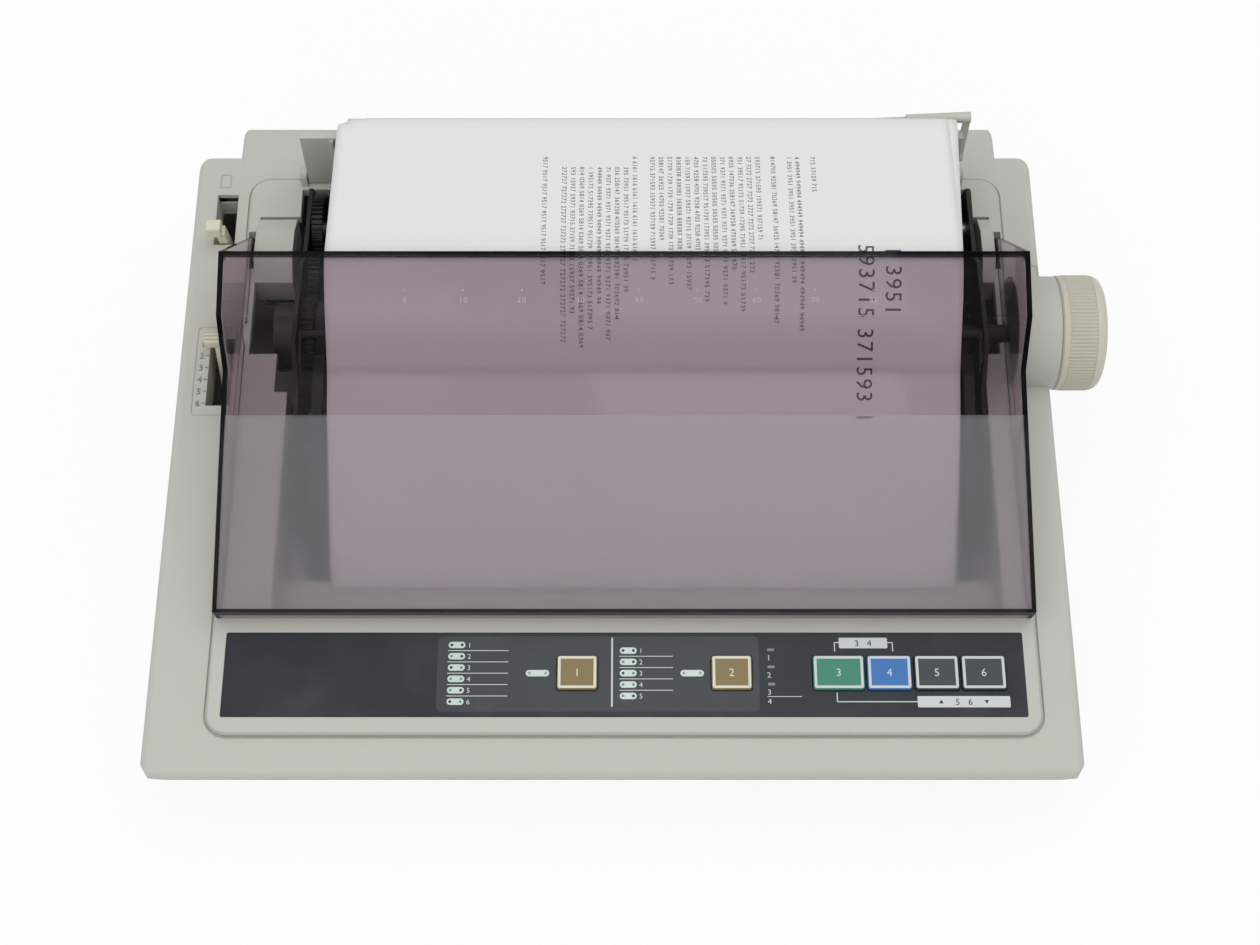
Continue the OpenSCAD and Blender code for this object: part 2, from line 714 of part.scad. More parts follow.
module indicator_lenses() color([0.75, 0.78, 0.76]) in_frame() {
  for (p = pills) pill_form(p, deck_raise - panel_t, deck_raise + 0.12);
  for (p = lamps) lamp_form(p, deck_raise - panel_t, deck_raise + 0.12);
}

module panel_board_posts() {
  for (p = panel_posts) on_slope() translate([p[0], p[1], board_face]) cylinder(h = -board_face, r = post_r);
}

module panel_board() color([0.1, 0.35, 0.2]) in_frame() {
  slope_plate(panel_x - panel_w / 2 + 8, key_y - 16, panel_x + panel_w / 2, key_y + 16, 1, -board_drop, board_face);
  for (k = keys) slope_plate(k[0] - 3, key_y - 3, k[0] + 3, key_y + 3, 0.3, board_face - fit,
    board_face + switch_body);
}

cover_path = [[cover_front + 2.5, deck_z(cover_front + 2.5) + cover_gap], [cover_front, cover_front_h],
  [crease_low_y, crease_low_h], [crease_high_y, crease_high_h], [cover_rear, cover_rear_h]];
notch_gap = 1.5;
cover_dy = cover_rear - hinge_y;
cover_dz = cover_rear_h - hinge_z;
rear_edge_angle = atan2(cover_dz, cover_dy) - acos(hinge_boss_r / norm([cover_dy, cover_dz]));

// A side wall of the cover, with a round notch where the platen shaft passes
module cover_side(x) {
  difference() {
    across(x, x + cover_t) polygon(concat(cover_path,
      [[hinge_y + hinge_boss_r * cos(rear_edge_angle), hinge_z + hinge_boss_r * sin(rear_edge_angle)]],
      [[hinge_y, hinge_z], [hinge_y - hinge_boss_r - 3, deck_z(hinge_y - hinge_boss_r - 3) + cover_gap]]));
    bar_x(x - 1, x + cover_t + 1, platen_y, platen_z, platen_shaft_r + notch_gap);
  }
  bar_x(x, x + cover_t, hinge_y, hinge_z, hinge_boss_r);
}

module smoked_cover() color([0.35, 0.31, 0.35, 0.55]) in_frame() {
  across(cover_l, cover_r) polygon(concat(cover_path, reversed(moved_path(cover_path, -cover_t))));
  cover_side(cover_l);
  cover_side(cover_r - cover_t);
  bar_x(cover_l + cover_t - fit, well_l + pin_in, hinge_y, hinge_z, hinge_pin_r);
  bar_x(well_r - pin_in, cover_r - cover_t + fit, hinge_y, hinge_z, hinge_pin_r);
}

shaft_end = knob_x + knob_w * 0.75;
knob_edge = 5;
knob_band = 12;

module platen_roller() color([0.1, 0.1, 0.11]) in_frame() {
  difference() {
    bar_x(platen_left, platen_right, platen_y, platen_z, platen_r);
    bar_x(platen_left - 1, platen_right + 1, platen_y, platen_z, platen_shaft_r);
  }
}

module platen_shaft() color(steel_color) in_frame() {
  bar_x(frame_l - frame_t - 1, shaft_end, platen_y, platen_z, platen_shaft_r);
}

module platen_knob() color([0.8, 0.79, 0.74]) in_frame() {
  band_0 = (knob_w - knob_band) / 2 - 1;
  translate([knob_x, platen_y, platen_z]) rotate([90, 0, 90]) difference() {
    union() {
      rotate_extrude() polygon(concat([[0, 0], [knob_r - 1, 0], [knob_r - 0.2, 0.8], [knob_r - 0.2, band_0],
        [knob_r - knob_rib_d, band_0], [knob_r - knob_rib_d, band_0 + knob_band]],
        arc(knob_r - knob_edge - 0.2, knob_w - knob_edge, knob_edge, 0, 90, 8), [[0, knob_w]]));
      translate([0, 0, band_0 - fit]) linear_extrude(knob_band + fit * 2) polygon([for (i = [0:knob_ribs - 1])
        each [for (j = [0:3]) let (a = 360 * (i + [0, 0.2, 0.5, 0.7][j]) / knob_ribs,
          r = knob_r - ((j == 0 || j == 3) ? knob_rib_d + 0.02 : 0)) [r * cos(a), r * sin(a)]]]);
    }
    translate([0, 0, -1]) cylinder(h = shaft_end - knob_x + 1, r = platen_shaft_r);
    translate([0, 0, -1]) difference() {
      cylinder(h = knob_w * 0.6 + 1, r = knob_r - 4);
      cylinder(h = knob_w, r = platen_shaft_r + 4);
    }
  }
}

// Outline of a gear with plain tapered teeth
function gear_points(teeth, phase) = [for (i = [0:teeth - 1]) each [for (j = [0:3])
  let (a = phase + 360 / teeth * (i + [-0.24, -0.1, 0.1, 0.24][j]),
    r = gear_module * (teeth / 2 + ((j == 0 || j == 3) ? -1.15 : 0.8))) [r * cos(a), r * sin(a)]]];
// Phase that puts a gear's gaps on the teeth of the gear that drives it
function meshed(angle, phase, teeth, next_teeth) =
  angle + 180 - 360 / next_teeth * (0.5 - (angle - phase) * teeth / 360);
function gear_gap(a, b) = gear_module * (a + b) / 2 + 0.12;

train_angle = 2;
pinion_angle = -60;
idler_y = platen_y + gear_gap(platen_teeth, idler_teeth) * cos(train_angle);
idler_z = platen_z + gear_gap(platen_teeth, idler_teeth) * sin(train_angle);
tractor_y = idler_y + gear_gap(idler_teeth, tractor_teeth) * cos(train_angle);
tractor_z = idler_z + gear_gap(idler_teeth, tractor_teeth) * sin(train_angle);
pinion_y = platen_y + gear_gap(platen_teeth, pinion_teeth) * cos(pinion_angle);
pinion_z = platen_z + gear_gap(platen_teeth, pinion_teeth) * sin(pinion_angle);
idler_phase = meshed(train_angle, 0, platen_teeth, idler_teeth);
tractor_phase = meshed(train_angle, idler_phase, idler_teeth, tractor_teeth);
pinion_phase = meshed(pinion_angle, 0, platen_teeth, pinion_teeth);
pinion_shaft_r = 1.5;

module gear(y, z, teeth, phase, bore) {
  difference() {
    across(gear_x, gear_x + gear_w) translate([y, z]) polygon(gear_points(teeth, phase));
    bar_x(gear_x - 1, gear_x + gear_w + 1, y, z, bore);
  }
}

module platen_gear() color(white_color) in_frame() {
  gear(platen_y, platen_z, platen_teeth, 0, platen_shaft_r);
}

module idler_gear() color(white_color) in_frame() {
  gear(idler_y, idler_z, idler_teeth, idler_phase, idler_pin_r + run_gap);
}

module tractor_gear() color(white_color) in_frame() {
  gear(tractor_y, tractor_z, tractor_teeth, tractor_phase, tractor_shaft_r);
}

module feed_motor() color([0.3, 0.3, 0.32]) in_frame() {
  bar_x(frame_l - frame_t - feed_motor_w, frame_l - frame_t, pinion_y, pinion_z, feed_motor_r);
}

module feed_pinion() color([0.75, 0.65, 0.35]) in_frame() {
  across(gear_x, gear_x + gear_w) translate([pinion_y, pinion_z]) polygon(gear_points(pinion_teeth, pinion_phase));
  bar_x(frame_l - frame_t + move_gap, gear_x + fit, pinion_y, pinion_z, pinion_shaft_r);
}

pressure_z = platen_z - platen_r - pressure_r - move_gap;
pressure_shaft_r = 2;
rod_out = 1;
gap_pin_y = 186;
gap_pin_z = 36;
release_pin_y = 264;
release_pin_z = 44;
lever_pin_r = 3;
bail_pin_r = 2;
frame_foot = 8;
frame_outline = [[118, chassis_top], [chassis_rear, chassis_top], [chassis_rear, 70], [276, 91], [236, 91],
  [228, 98], [185, 98], [171, 80], [140, 62], [118, 56]];

module side_frame(x) {
  difference() {
    across(x, x + frame_t) polygon(frame_outline);
    bar_x(x - 1, x + frame_t + 1, platen_y, platen_z, platen_shaft_r + run_gap);
    bar_x(x - 1, x + frame_t + 1, tractor_y, tractor_z, tractor_shaft_r + run_gap);
    bar_x(x - 1, x + frame_t + 1, tractor_y - tractor_rod_gap, tractor_z - tractor_rod_drop, tractor_rod_r);
    bar_x(x - 1, x + frame_t + 1, platen_y, pressure_z, pressure_shaft_r + run_gap);
    bar_x(x - 1, x + frame_t + 1, rod_y, rod_z, rod_r);
    bar_x(x - 1, x + frame_t + 1, rail_y, rod_z, rail_r);
    bar_x(x - 1, x + frame_t + 1, bail_pivot_y, bail_pivot_z, bail_pin_r + run_gap);
  }
}

module frame_left() color(dark_color) in_frame() {
  difference() {
    union() {
      side_frame(frame_l - frame_t);
      block(frame_l - fit, frame_l + frame_foot, 128, 180, chassis_top, chassis_top + frame_t);
      bar_x(frame_l - fit, gear_x + gear_w, idler_y, idler_z, idler_pin_r);
      bar_x(gap_lever_x - lever_w / 2 - 1, frame_l - frame_t + fit, gap_pin_y, gap_pin_z, lever_pin_r);
      bar_x(release_lever_x - lever_w / 2 - 1, frame_l - frame_t + fit, release_pin_y, release_pin_z, lever_pin_r);
    }
    bar_x(frame_l - frame_t - 1, frame_l + 1, pinion_y, pinion_z, pinion_shaft_r + run_gap);
  }
}

module frame_right() color(dark_color) in_frame() {
  side_frame(frame_r);
  block(frame_r - frame_foot, frame_r + fit, 128, 180, chassis_top, chassis_top + frame_t);
}

motor_right_x = frame_r - 26;
pulley_left_x = frame_l + 24;
belt_z = chassis_top + 2;
belt_shaft_r = 2.5;

module chassis_plate() color([0.6, 0.61, 0.62]) in_frame() {
  difference() {
    union() {
      block(frame_l - frame_t - 4, frame_r + frame_t + 3, chassis_front, chassis_rear, chassis_z, chassis_top);
      translate([pulley_left_x, belt_y, chassis_top - fit]) cylinder(h = belt_w + 3, r = belt_shaft_r);
    }
    translate([motor_right_x, belt_y, chassis_z - 1]) cylinder(h = chassis_t + 2, r = belt_shaft_r + run_gap);
    for (x = [-90:45:90]) block(mech_x + x - 12, mech_x + x + 12, 225, 265, chassis_z - 1, chassis_top + 1);
  }
}

module carriage_rod() color(steel_color) in_frame() {
  bar_x(frame_l - frame_t - rod_out, frame_r + frame_t + rod_out, rod_y, rod_z, rod_r);
}

module carriage_rail() color(steel_color) in_frame() {
  bar_x(frame_l - frame_t - rod_out, frame_r + frame_t + rod_out, rail_y, rod_z, rail_r);
}

head_park = 30;
carriage_x = mech_x - head_park;
carriage_front = rod_y - rod_r - 5;
carriage_rear = rail_y + rail_r + 4;
carriage_top = rod_z + 9;
belt_back = belt_y + pulley_r;

module carriage() color(dark_color) in_frame() {
  x0 = carriage_x - carriage_w / 2;
  x1 = carriage_x + carriage_w / 2;
  difference() {
    union() {
      block(x0, x1, carriage_front, carriage_rear, rod_z - 7, carriage_top);
      // Clamp that reaches down to the belt
      block(carriage_x - 8, carriage_x + 8, belt_back + belt_t + move_gap, carriage_front + 6,
        belt_z, rod_z - 7 + fit);
    }
    bar_x(x0 - 1, x1 + 1, rod_y, rod_z, rod_r + run_gap);
    bar_x(x0 - 1, x1 + 1, rail_y, rod_z, rail_r + run_gap);
  }
}

ribbon_y = platen_y - platen_r - 1.6;
head_top = 86;

module print_head() color([0.35, 0.35, 0.37]) in_frame() {
  x0 = carriage_x - head_w / 2;
  x1 = carriage_x + head_w / 2;
  difference() {
    block(x0, x1, rod_y - 5, ribbon_y - 8, carriage_top, head_top);
    for (i = [0:5]) block(x0 - 1, x1 + 1, rod_y - 6, rod_y + 8, carriage_top + 5 + i * 4, carriage_top + 7 + i * 4);
  }
  block(carriage_x - 6, carriage_x + 6, ribbon_y - 9, ribbon_y - 0.5, platen_z - 7, platen_z + 7);
}

module pulley(x, bore, shaft_down) {
  translate([x, belt_y, belt_z - 0.7]) difference() {
    union() {
      cylinder(h = belt_w + 1.4, r = pulley_r - fit * 2);
      if (shaft_down > 0) translate([0, 0, -shaft_down]) cylinder(h = shaft_down + fit, r = belt_shaft_r);
    }
    if (bore > 0) translate([0, 0, -1]) cylinder(h = belt_w + 4, r = bore);
  }
}

module drive_belt() color([0.08, 0.08, 0.08]) in_frame() {
  translate([0, 0, belt_z]) linear_extrude(belt_w) {
    for (side = [-1, 1]) translate([pulley_left_x, belt_y + side * (pulley_r + belt_t / 2 + 0.02) - belt_t / 2])
      square([motor_right_x - pulley_left_x, belt_t]);
    difference() {
      translate([pulley_left_x, belt_y]) circle(pulley_r + belt_t + 0.02);
      translate([pulley_left_x, belt_y]) circle(pulley_r + 0.02);
      translate([pulley_left_x, belt_y - pulley_r * 2]) square(pulley_r * 4);
    }
    difference() {
      translate([motor_right_x, belt_y]) circle(pulley_r + belt_t + 0.02);
      translate([motor_right_x, belt_y]) circle(pulley_r + 0.02);
      translate([motor_right_x - pulley_r * 4, belt_y - pulley_r * 2]) square(pulley_r * 4);
    }
  }
}

module drive_pulley() color([0.75, 0.65, 0.35]) in_frame() {
  pulley(motor_right_x, 0, belt_z - 0.7 - chassis_z - move_gap);
}

module belt_pulley() color(white_color) in_frame() {
  pulley(pulley_left_x, belt_shaft_r + run_gap, 0);
}

module carriage_motor() color([0.3, 0.3, 0.32]) in_frame() {
  translate([motor_right_x, belt_y, board_z + 3]) cylinder(h = chassis_z - board_z - 3, r = carriage_motor_r);
}

cartridge_y = chassis_front + 1;
cartridge_l = frame_l + 3;
cartridge_r = frame_r - 3;
arm_t = 5;
arm_left = platen_left - 0.5;
arm_right = platen_right + 1;
cartridge_top = chassis_top + cartridge_h;
arm_outline = [[cartridge_y + cartridge_d - 10, cartridge_top - 1], [cartridge_y + cartridge_d, cartridge_top - 1],
  [134, 54], [172, 66], [ribbon_y, platen_z - 8], [ribbon_y, platen_z + 7], [176, platen_z + 7], [120, 62],
  [cartridge_y + cartridge_d - 10, 56]];

module ribbon_cartridge() color(dark_color) in_frame() {
  difference() {
    union() {
      translate([0, 0, chassis_top]) linear_extrude(cartridge_h)
        polygon(round_box(cartridge_l, cartridge_y, cartridge_r, cartridge_y + cartridge_d, 4));
      across(arm_left, arm_left + arm_t) polygon(arm_outline);
      across(arm_right, arm_right + arm_t) polygon(arm_outline);
    }
    translate([cartridge_l + 14, cartridge_y + cartridge_d / 2, chassis_top + 1])
      cylinder(h = cartridge_h + 1, r = 2 + run_gap);
  }
}

module ribbon() color([0.05, 0.05, 0.06]) in_frame() {
  block(arm_left, arm_right + arm_t, ribbon_y, ribbon_y + ribbon_t, platen_z - ribbon_w / 2, platen_z + ribbon_w / 2);
}

module ribbon_knob() color([0.2, 0.2, 0.22]) in_frame() {
  translate([cartridge_l + 14, cartridge_y + cartridge_d / 2, cartridge_top + move_gap]) {
    cylinder(h = 2, r = ribbon_knob_r);
    cylinder(h = 6, r = ribbon_knob_r - 2);
  }
  translate([cartridge_l + 14, cartridge_y + cartridge_d / 2, chassis_top + 1 + move_gap])
    cylinder(h = cartridge_h, r = 2);
}

bail_angle = 125;
bail_reach = platen_r + bail_roller_r + move_gap;
bail_y = platen_y + bail_reach * cos(bail_angle);
bail_z = platen_z + bail_reach * sin(bail_angle);
bail_t = 1.5;
bail_outline = [[bail_pivot_y - 4, bail_pivot_z - 3], [bail_pivot_y + 3, bail_pivot_z - 3],
  [bail_pivot_y + 3, 82], [bail_y, bail_z - 3.2], [bail_y + 3, bail_z], [bail_y, bail_z + 3.2],
  [bail_pivot_y - 1, 90], [bail_pivot_y - 4, 84]];
bail_first = arm_left + 42.7;
bail_last = arm_right - 46.8;
bail_roller_places = [for (i = [0:3]) bail_first + i * (bail_last - bail_first) / 3];

module bail_arm(x, pin_x) {
  across(x, x + bail_t) polygon(bail_outline);
  bar_x(min(x, pin_x), max(x + bail_t, pin_x), bail_pivot_y, bail_pivot_z, bail_pin_r);
}

module paper_bail() color(steel_color) in_frame() {
  bail_arm(frame_l + move_gap, frame_l - frame_t);
  bail_arm(frame_r - move_gap - bail_t, frame_r + frame_t);
  bar_x(frame_l + move_gap + fit, frame_r - move_gap - fit, bail_y, bail_z, bail_bar_r);
}

module bail_rollers() color([0.12, 0.12, 0.13]) in_frame() {
  for (x = bail_roller_places) difference() {
    bar_x(x - bail_roller_w / 2, x + bail_roller_w / 2, bail_y, bail_z, bail_roller_r);
    bar_x(x - bail_roller_w, x + bail_roller_w, bail_y, bail_z, bail_bar_r + run_gap);
  }
}

module tractor(x, side) {
  y0 = tractor_y - tractor_nose;
  outer = x + side * tractor_w / 2;
  difference() {
    union() {
      across(x - tractor_w / 2, x + tractor_w / 2)
        polygon(round_box(y0, tractor_z - tractor_rod_drop - 6, y0 + tractor_d, tractor_z + 10, 6));
      // Lugs that hold the door's pin
      for (y = [y0 + 7, y0 + tractor_d - 10]) block(min(outer, outer + side * 3), max(outer, outer + side * 3),
        y, y + 3, tractor_z + 4, tractor_z + 13);
    }
    bar_x(x - tractor_w, x + tractor_w, tractor_y, tractor_z, tractor_shaft_r + run_gap);
    bar_x(x - tractor_w, x + tractor_w, tractor_y - tractor_rod_gap, tractor_z - tractor_rod_drop,
      tractor_rod_r + run_gap);
    block(x - tractor_w, x + tractor_w, y0 + 12, y0 + 18, tractor_z + 6, tractor_z + 12);
    translate([outer + side * 1.5, y0, tractor_z + 11.3]) rotate([-90, 0, 0])
      cylinder(h = tractor_d, r = 1 + run_gap);
  }
}

module tractor_door(x, side) {
  y0 = tractor_y - tractor_nose;
  outer = x + side * tractor_w / 2;
  z = tractor_z + 10 + move_gap;
  difference() {
    block(min(x - side * tractor_w / 2, outer + side * 1.5), max(x - side * tractor_w / 2, outer + side * 1.5),
      y0 + 10 + move_gap, y0 + tractor_d - 10 - move_gap, z, z + door_t);
    block(x - 2, x + 2, y0 + 14, y0 + tractor_d - 14, z - 1, z + door_t + 1);
  }
  translate([outer + side * 1.5, y0 + 7, tractor_z + 11.3]) rotate([-90, 0, 0])
    cylinder(h = tractor_d - 14, r = 1);
}

module tractor_left() color(dark_color) in_frame() tractor(tractor_left_x, -1);
module tractor_right() color(dark_color) in_frame() tractor(tractor_right_x, 1);
module tractor_door_left() color([0.25, 0.25, 0.27]) in_frame() tractor_door(tractor_left_x, -1);
module tractor_door_right() color([0.25, 0.25, 0.27]) in_frame() tractor_door(tractor_right_x, 1);

module tractor_shaft() color(steel_color) in_frame() {
  bar_x(frame_l - frame_t - rod_out, frame_r + frame_t + rod_out, tractor_y, tractor_z, tractor_shaft_r);
}

module tractor_rod() color(steel_color) in_frame() {
  bar_x(frame_l - frame_t - rod_out, frame_r + frame_t + rod_out, tractor_y - tractor_rod_gap,
    tractor_z - tractor_rod_drop, tractor_rod_r);
}

pressure_first = platen_left + 42;
pressure_last = platen_right - 34;
pressure_places = [for (i = [0:3]) pressure_first + i * (pressure_last - pressure_first) / 3];

module paper_pan() color(dark_color) in_frame() {
  difference() {
    across(frame_l, frame_r) translate([platen_y, platen_z]) polygon(concat(
      arc(0, 0, pan_r + pan_t, 215, 355, 28), arc(0, 0, pan_r, 355, 215, 28)));
    for (x = pressure_places) block(x - pressure_w / 2 - 1, x + pressure_w / 2 + 1, platen_y - 6, platen_y + 6, 50, 64);
    block(frame_l - 1, gear_x + gear_w + 0.6, platen_y - 30, platen_y + 30, 50, 110);
  }
}

module pressure_rollers() color([0.14, 0.14, 0.15]) in_frame() {
  for (x = pressure_places) bar_x(x - pressure_w / 2, x + pressure_w / 2, platen_y, pressure_z, pressure_r);
  bar_x(frame_l - frame_t, frame_r + frame_t, platen_y, pressure_z, pressure_shaft_r);
}

lever_hub_r = 6;
lever_arm = 5;
gap_tip_y = 199;
gap_tip_z = 77;
release_tip_y = 253.6;
release_tip_z = 88;

// A lever: a hub on its pin, a flat arm and a block at the tip
module lever(x, pin_y, pin_z, tip_y, tip_z, tip_l, tip_h, tip_out) {
  dir = unit([pin_y, pin_z], [tip_y, tip_z]);
  side = left_of(dir) * lever_arm / 2;
  difference() {
    union() {
      bar_x(x - lever_w / 2, x + lever_w / 2, pin_y, pin_z, lever_hub_r);
      across(x - lever_w / 2, x + lever_w / 2) polygon([[pin_y, pin_z] - side, [tip_y, tip_z] - side,
        [tip_y, tip_z] + side, [pin_y, pin_z] + side]);
      across(x - lever_w / 2 - tip_out, x + lever_w / 2 - tip_out / 3) polygon(round_box(tip_y - tip_l / 2, tip_z - 2,
        tip_y + tip_l / 2, tip_z + tip_h - 2, 1.5));
    }
    bar_x(x - lever_w, x + lever_w, pin_y, pin_z, lever_pin_r + run_gap);
  }
}

module head_gap_lever() color([0.84, 0.82, 0.75]) in_frame() {
  difference() {
    lever(gap_lever_x, gap_pin_y, gap_pin_z, gap_tip_y, gap_tip_z, 6.5, 6, 4.5);
    for (i = [0:2]) block(gap_lever_x - 8, gap_lever_x + 8, gap_tip_y - 2.3 + i * 1.9, gap_tip_y - 1.5 + i * 1.9,
      gap_tip_z + 3.3, gap_tip_z + 5);
  }
}

module release_lever() color([0.84, 0.82, 0.75]) in_frame() {
  lever(release_lever_x, release_pin_y, release_pin_z, release_tip_y, release_tip_z, 6.5, 7, 4);
}

guide_pivot_y = 287;
guide_pivot_z = deck_z(287) + 3;
guide_pin_r = 2;
guide_foot = 1;
guide_flange = 4;
guide_rib_w = 1.5;
guide_rib_left = guide_left + 14;
guide_rib_right = guide_right - 12;
guide_rib_step = (guide_rib_right - guide_rib_left - guide_rib_w) / 7;
rest_pivot_y = guide_y + guide_t + 3.5;
rest_pivot_z = 98;
rest_pin_r = 1.5;
wire_y = 290;
wire_left = guide_left + 85.5;
rest_right = guide_right + 2.5;
sleeve_left = rest_right - 29.5;
rest_arm_w = 3;
rest_hub_r = 2.6;

module rest_lug(x0, x1) {
  across(x0, x1) polygon(concat([[guide_y + guide_t - 0.1, rest_pivot_z - 4]],
    arc(rest_pivot_y, rest_pivot_z, 3, -90, 90, 8), [[guide_y + guide_t - 0.1, rest_pivot_z + 4]]));
}

module sheet_guide() color(case_color) in_frame() {
  difference() {
    union() {
      block(guide_left, guide_right, guide_y, guide_y + guide_t, deck_z(guide_y) + guide_foot, guide_top);
      // Top flange, and ribs on the front face
      block(guide_left, guide_right, guide_y, guide_y + guide_flange, guide_top - guide_t, guide_top);
      for (i = [0:7]) block(guide_rib_left + i * guide_rib_step, guide_rib_left + guide_rib_w + i * guide_rib_step,
        guide_y - guide_rib_w, guide_y + 0.1, deck_z(guide_y) + 6, guide_top - 1);
      for (x = [guide_left, guide_right - 6]) across(x, x + 6)
        polygon([[guide_y, deck_z(guide_y) + guide_foot], [guide_pivot_y + 2, guide_pivot_z - 2],
          [guide_pivot_y + 2, guide_pivot_z + 4], [guide_y, guide_pivot_z + 6]]);
      rest_lug(wire_left - 3, wire_left - move_gap);
      rest_lug(wire_left + rest_arm_w + move_gap, wire_left + rest_arm_w + 3);
      rest_lug(rest_right - rest_arm_w - 3, rest_right - rest_arm_w - move_gap);
    }
    bar_x(wire_left - 5, guide_right + 1, rest_pivot_y, rest_pivot_z, rest_pin_r + run_gap);
  }
  bar_x(guide_left - 4, guide_left + fit, guide_pivot_y, guide_pivot_z, guide_pin_r);
  bar_x(guide_right - fit, guide_right + 4, guide_pivot_y, guide_pivot_z, guide_pin_r);
}

wire_run = rest_right - wire_left;

// An arm of the rest, from its pivot up to the wire, with the pin on which it turns
module rest_arm(x, top_z, pin_right) {
  across(x, x + rest_arm_w) polygon([[rest_pivot_y - 1.2, rest_pivot_z], [rest_pivot_y + 1.6, rest_pivot_z],
    [wire_y + 1.5, top_z], [wire_y - 1.2, top_z]]);
  bar_x(x, x + rest_arm_w, rest_pivot_y, rest_pivot_z, rest_hub_r);
  bar_x(x - 2.5, x + rest_arm_w + pin_right, rest_pivot_y, rest_pivot_z, rest_pin_r);
}

module paper_rest() color(case_color) in_frame() {
  tilt = atan(wire_drop / wire_run);
  translate([wire_left, wire_y, wire_z - wire_drop]) rotate([0, 90 - tilt, 0]) {
    cylinder(h = wire_run / cos(tilt), r = wire_r);
    translate([0, 0, (sleeve_left - wire_left) / cos(tilt)])
      cylinder(h = (rest_right - sleeve_left) / cos(tilt), r = sleeve_r);
  }
  rest_arm(wire_left, wire_z - wire_drop, 2.5);
  rest_arm(rest_right - rest_arm_w, wire_z, fit);
}

main_top = board_z + board_t;
chip_l = 22;
chip_w = 9;
chip_h = 4;
chip_pitch = 34;
cpu_w = 30;
can_r = 5;
can_h = 12;
plug_l = 40;
plug_w = 8;

module main_board() color([0.1, 0.35, 0.2]) in_frame() {
  translate([board_left, board_front, board_z]) cube([main_board_w, main_board_d, board_t]);
  translate([board_left, board_front, main_top - fit]) {
    for (i = [0:3]) translate([cpu_w - 10 + i * chip_pitch, cpu_w * 2, 0]) cube([chip_l, chip_w, chip_h]);
    translate([cpu_w - 10, cpu_w * 3, 0]) cube([cpu_w, cpu_w, chip_h]);
    for (i = [0:2]) translate([chip_l * (i + 1), can_r * 3, 0]) cylinder(h = can_h, r = can_r);
    translate([main_board_w / 2, main_board_d - plug_w * 2.5, 0]) cube([plug_l, plug_w, plug_w]);
  }
}

module transformer() color([0.45, 0.4, 0.35]) in_frame() {
  translate([transformer_x, transformer_y, floor_top]) {
    cube([transformer_w, transformer_d, 2]);
    translate([8, 0, 0]) cube([transformer_w - 16, transformer_d, transformer_h]);
    translate([2, 8, 4]) cube([transformer_w - 4, transformer_d - 16, transformer_h - 8]);
  }
}

heat_sink_d = 24;
heat_sink_h = 22;

module heat_sink() color([0.75, 0.76, 0.78]) in_frame() {
  translate([board_left + main_board_w - heat_sink_w - 8, board_front + 6, main_top]) {
    cube([heat_sink_w, heat_sink_d, 3]);
    for (i = [0:heat_sink_fins - 1]) translate([i * (heat_sink_w - 2) / (heat_sink_fins - 1), 0, 0])
      cube([2, heat_sink_d, heat_sink_h]);
  }
}

module parallel_connector() color([0.15, 0.15, 0.16]) in_frame() {
  x0 = connector_x - connector_w / 2;
  difference() {
    union() {
      block(x0 - 4, x0 + connector_w + 4, case_d - wall - 3, case_d - wall, connector_z - 3, connector_z + connector_h + 1);
      block(x0 + fit, x0 + connector_w - fit, case_d - wall - 12, case_d, connector_z + fit,
        connector_z + connector_h - fit);
    }
    block(x0 + 6, x0 + connector_w - 6, case_d - 7, case_d + 1, connector_z + 2.5, connector_z + connector_h - 2.5);
  }
  block(x0 + 9, x0 + connector_w - 9, case_d - 8, case_d - 1, connector_z + connector_h / 2 - 1.5,
    connector_z + connector_h / 2 + 1.5);
}

module mains_inlet() color([0.12, 0.12, 0.13]) in_frame() {
  x0 = inlet_x - inlet_w / 2;
  difference() {
    union() {
      block(x0 - 3, x0 + inlet_w + 3, case_d - wall - 3, case_d - wall, inlet_z - 2 + fit, inlet_z + inlet_h + 1);
      block(x0 + fit, x0 + inlet_w - fit, case_d - wall - 20, case_d, inlet_z + fit, inlet_z + inlet_h - fit);
    }
    block(x0 + 3, x0 + inlet_w - 3, case_d - 17, case_d + 1, inlet_z + 3, inlet_z + inlet_h - 3);
  }
  for (i = [-1:1]) block(inlet_x + i * 7 - 1, inlet_x + i * 7 + 1, case_d - 18, case_d - 3,
    inlet_z + inlet_h / 2 - (i == 0 ? 0 : 3), inlet_z + inlet_h / 2 + (i == 0 ? 4 : 1));
}

switch_pivot_x = case_w / 2 - 4;
switch_mid = switch_z + switch_h / 2;
rocker_tilt = 8;

module switch_frame() color([0.12, 0.12, 0.13]) in_frame() {
  difference() {
    union() {
      block(case_w / 2 - 18, case_w / 2, switch_y - switch_l / 2 + fit, switch_y + switch_l / 2 - fit,
        switch_z + fit, switch_z + switch_h - fit);
      block(case_w / 2, case_w / 2 + 1, switch_y - switch_l / 2 - 1.5, switch_y + switch_l / 2 + 1.5,
        switch_z - 1.5, switch_z + switch_h + 1.5);
    }
    block(case_w / 2 - 12, case_w / 2 + 2, switch_y - switch_l / 2 + 2, switch_y + switch_l / 2 - 2,
      switch_z + 2, switch_z + switch_h - 2);
    translate([switch_pivot_x, switch_y, switch_z + 0.5]) cylinder(h = switch_h - 1, r = 1 + run_gap);
  }
}

module power_switch() color([0.05, 0.05, 0.05]) in_frame() {
  half = switch_l / 2 - 3;
  translate([switch_pivot_x, switch_y, 0]) rotate([0, 0, -rocker_tilt]) {
    translate([0, 0, switch_z + 2 + move_gap]) linear_extrude(switch_h - 4 - move_gap * 2)
      polygon([[-3, -4], [4, -half], [5.5, -half], [4.2, 0], [5.5, half], [4, half], [-3, 4]]);
    translate([0, 0, switch_z + 0.8]) cylinder(h = switch_h - 1.6, r = 1);
  }
}

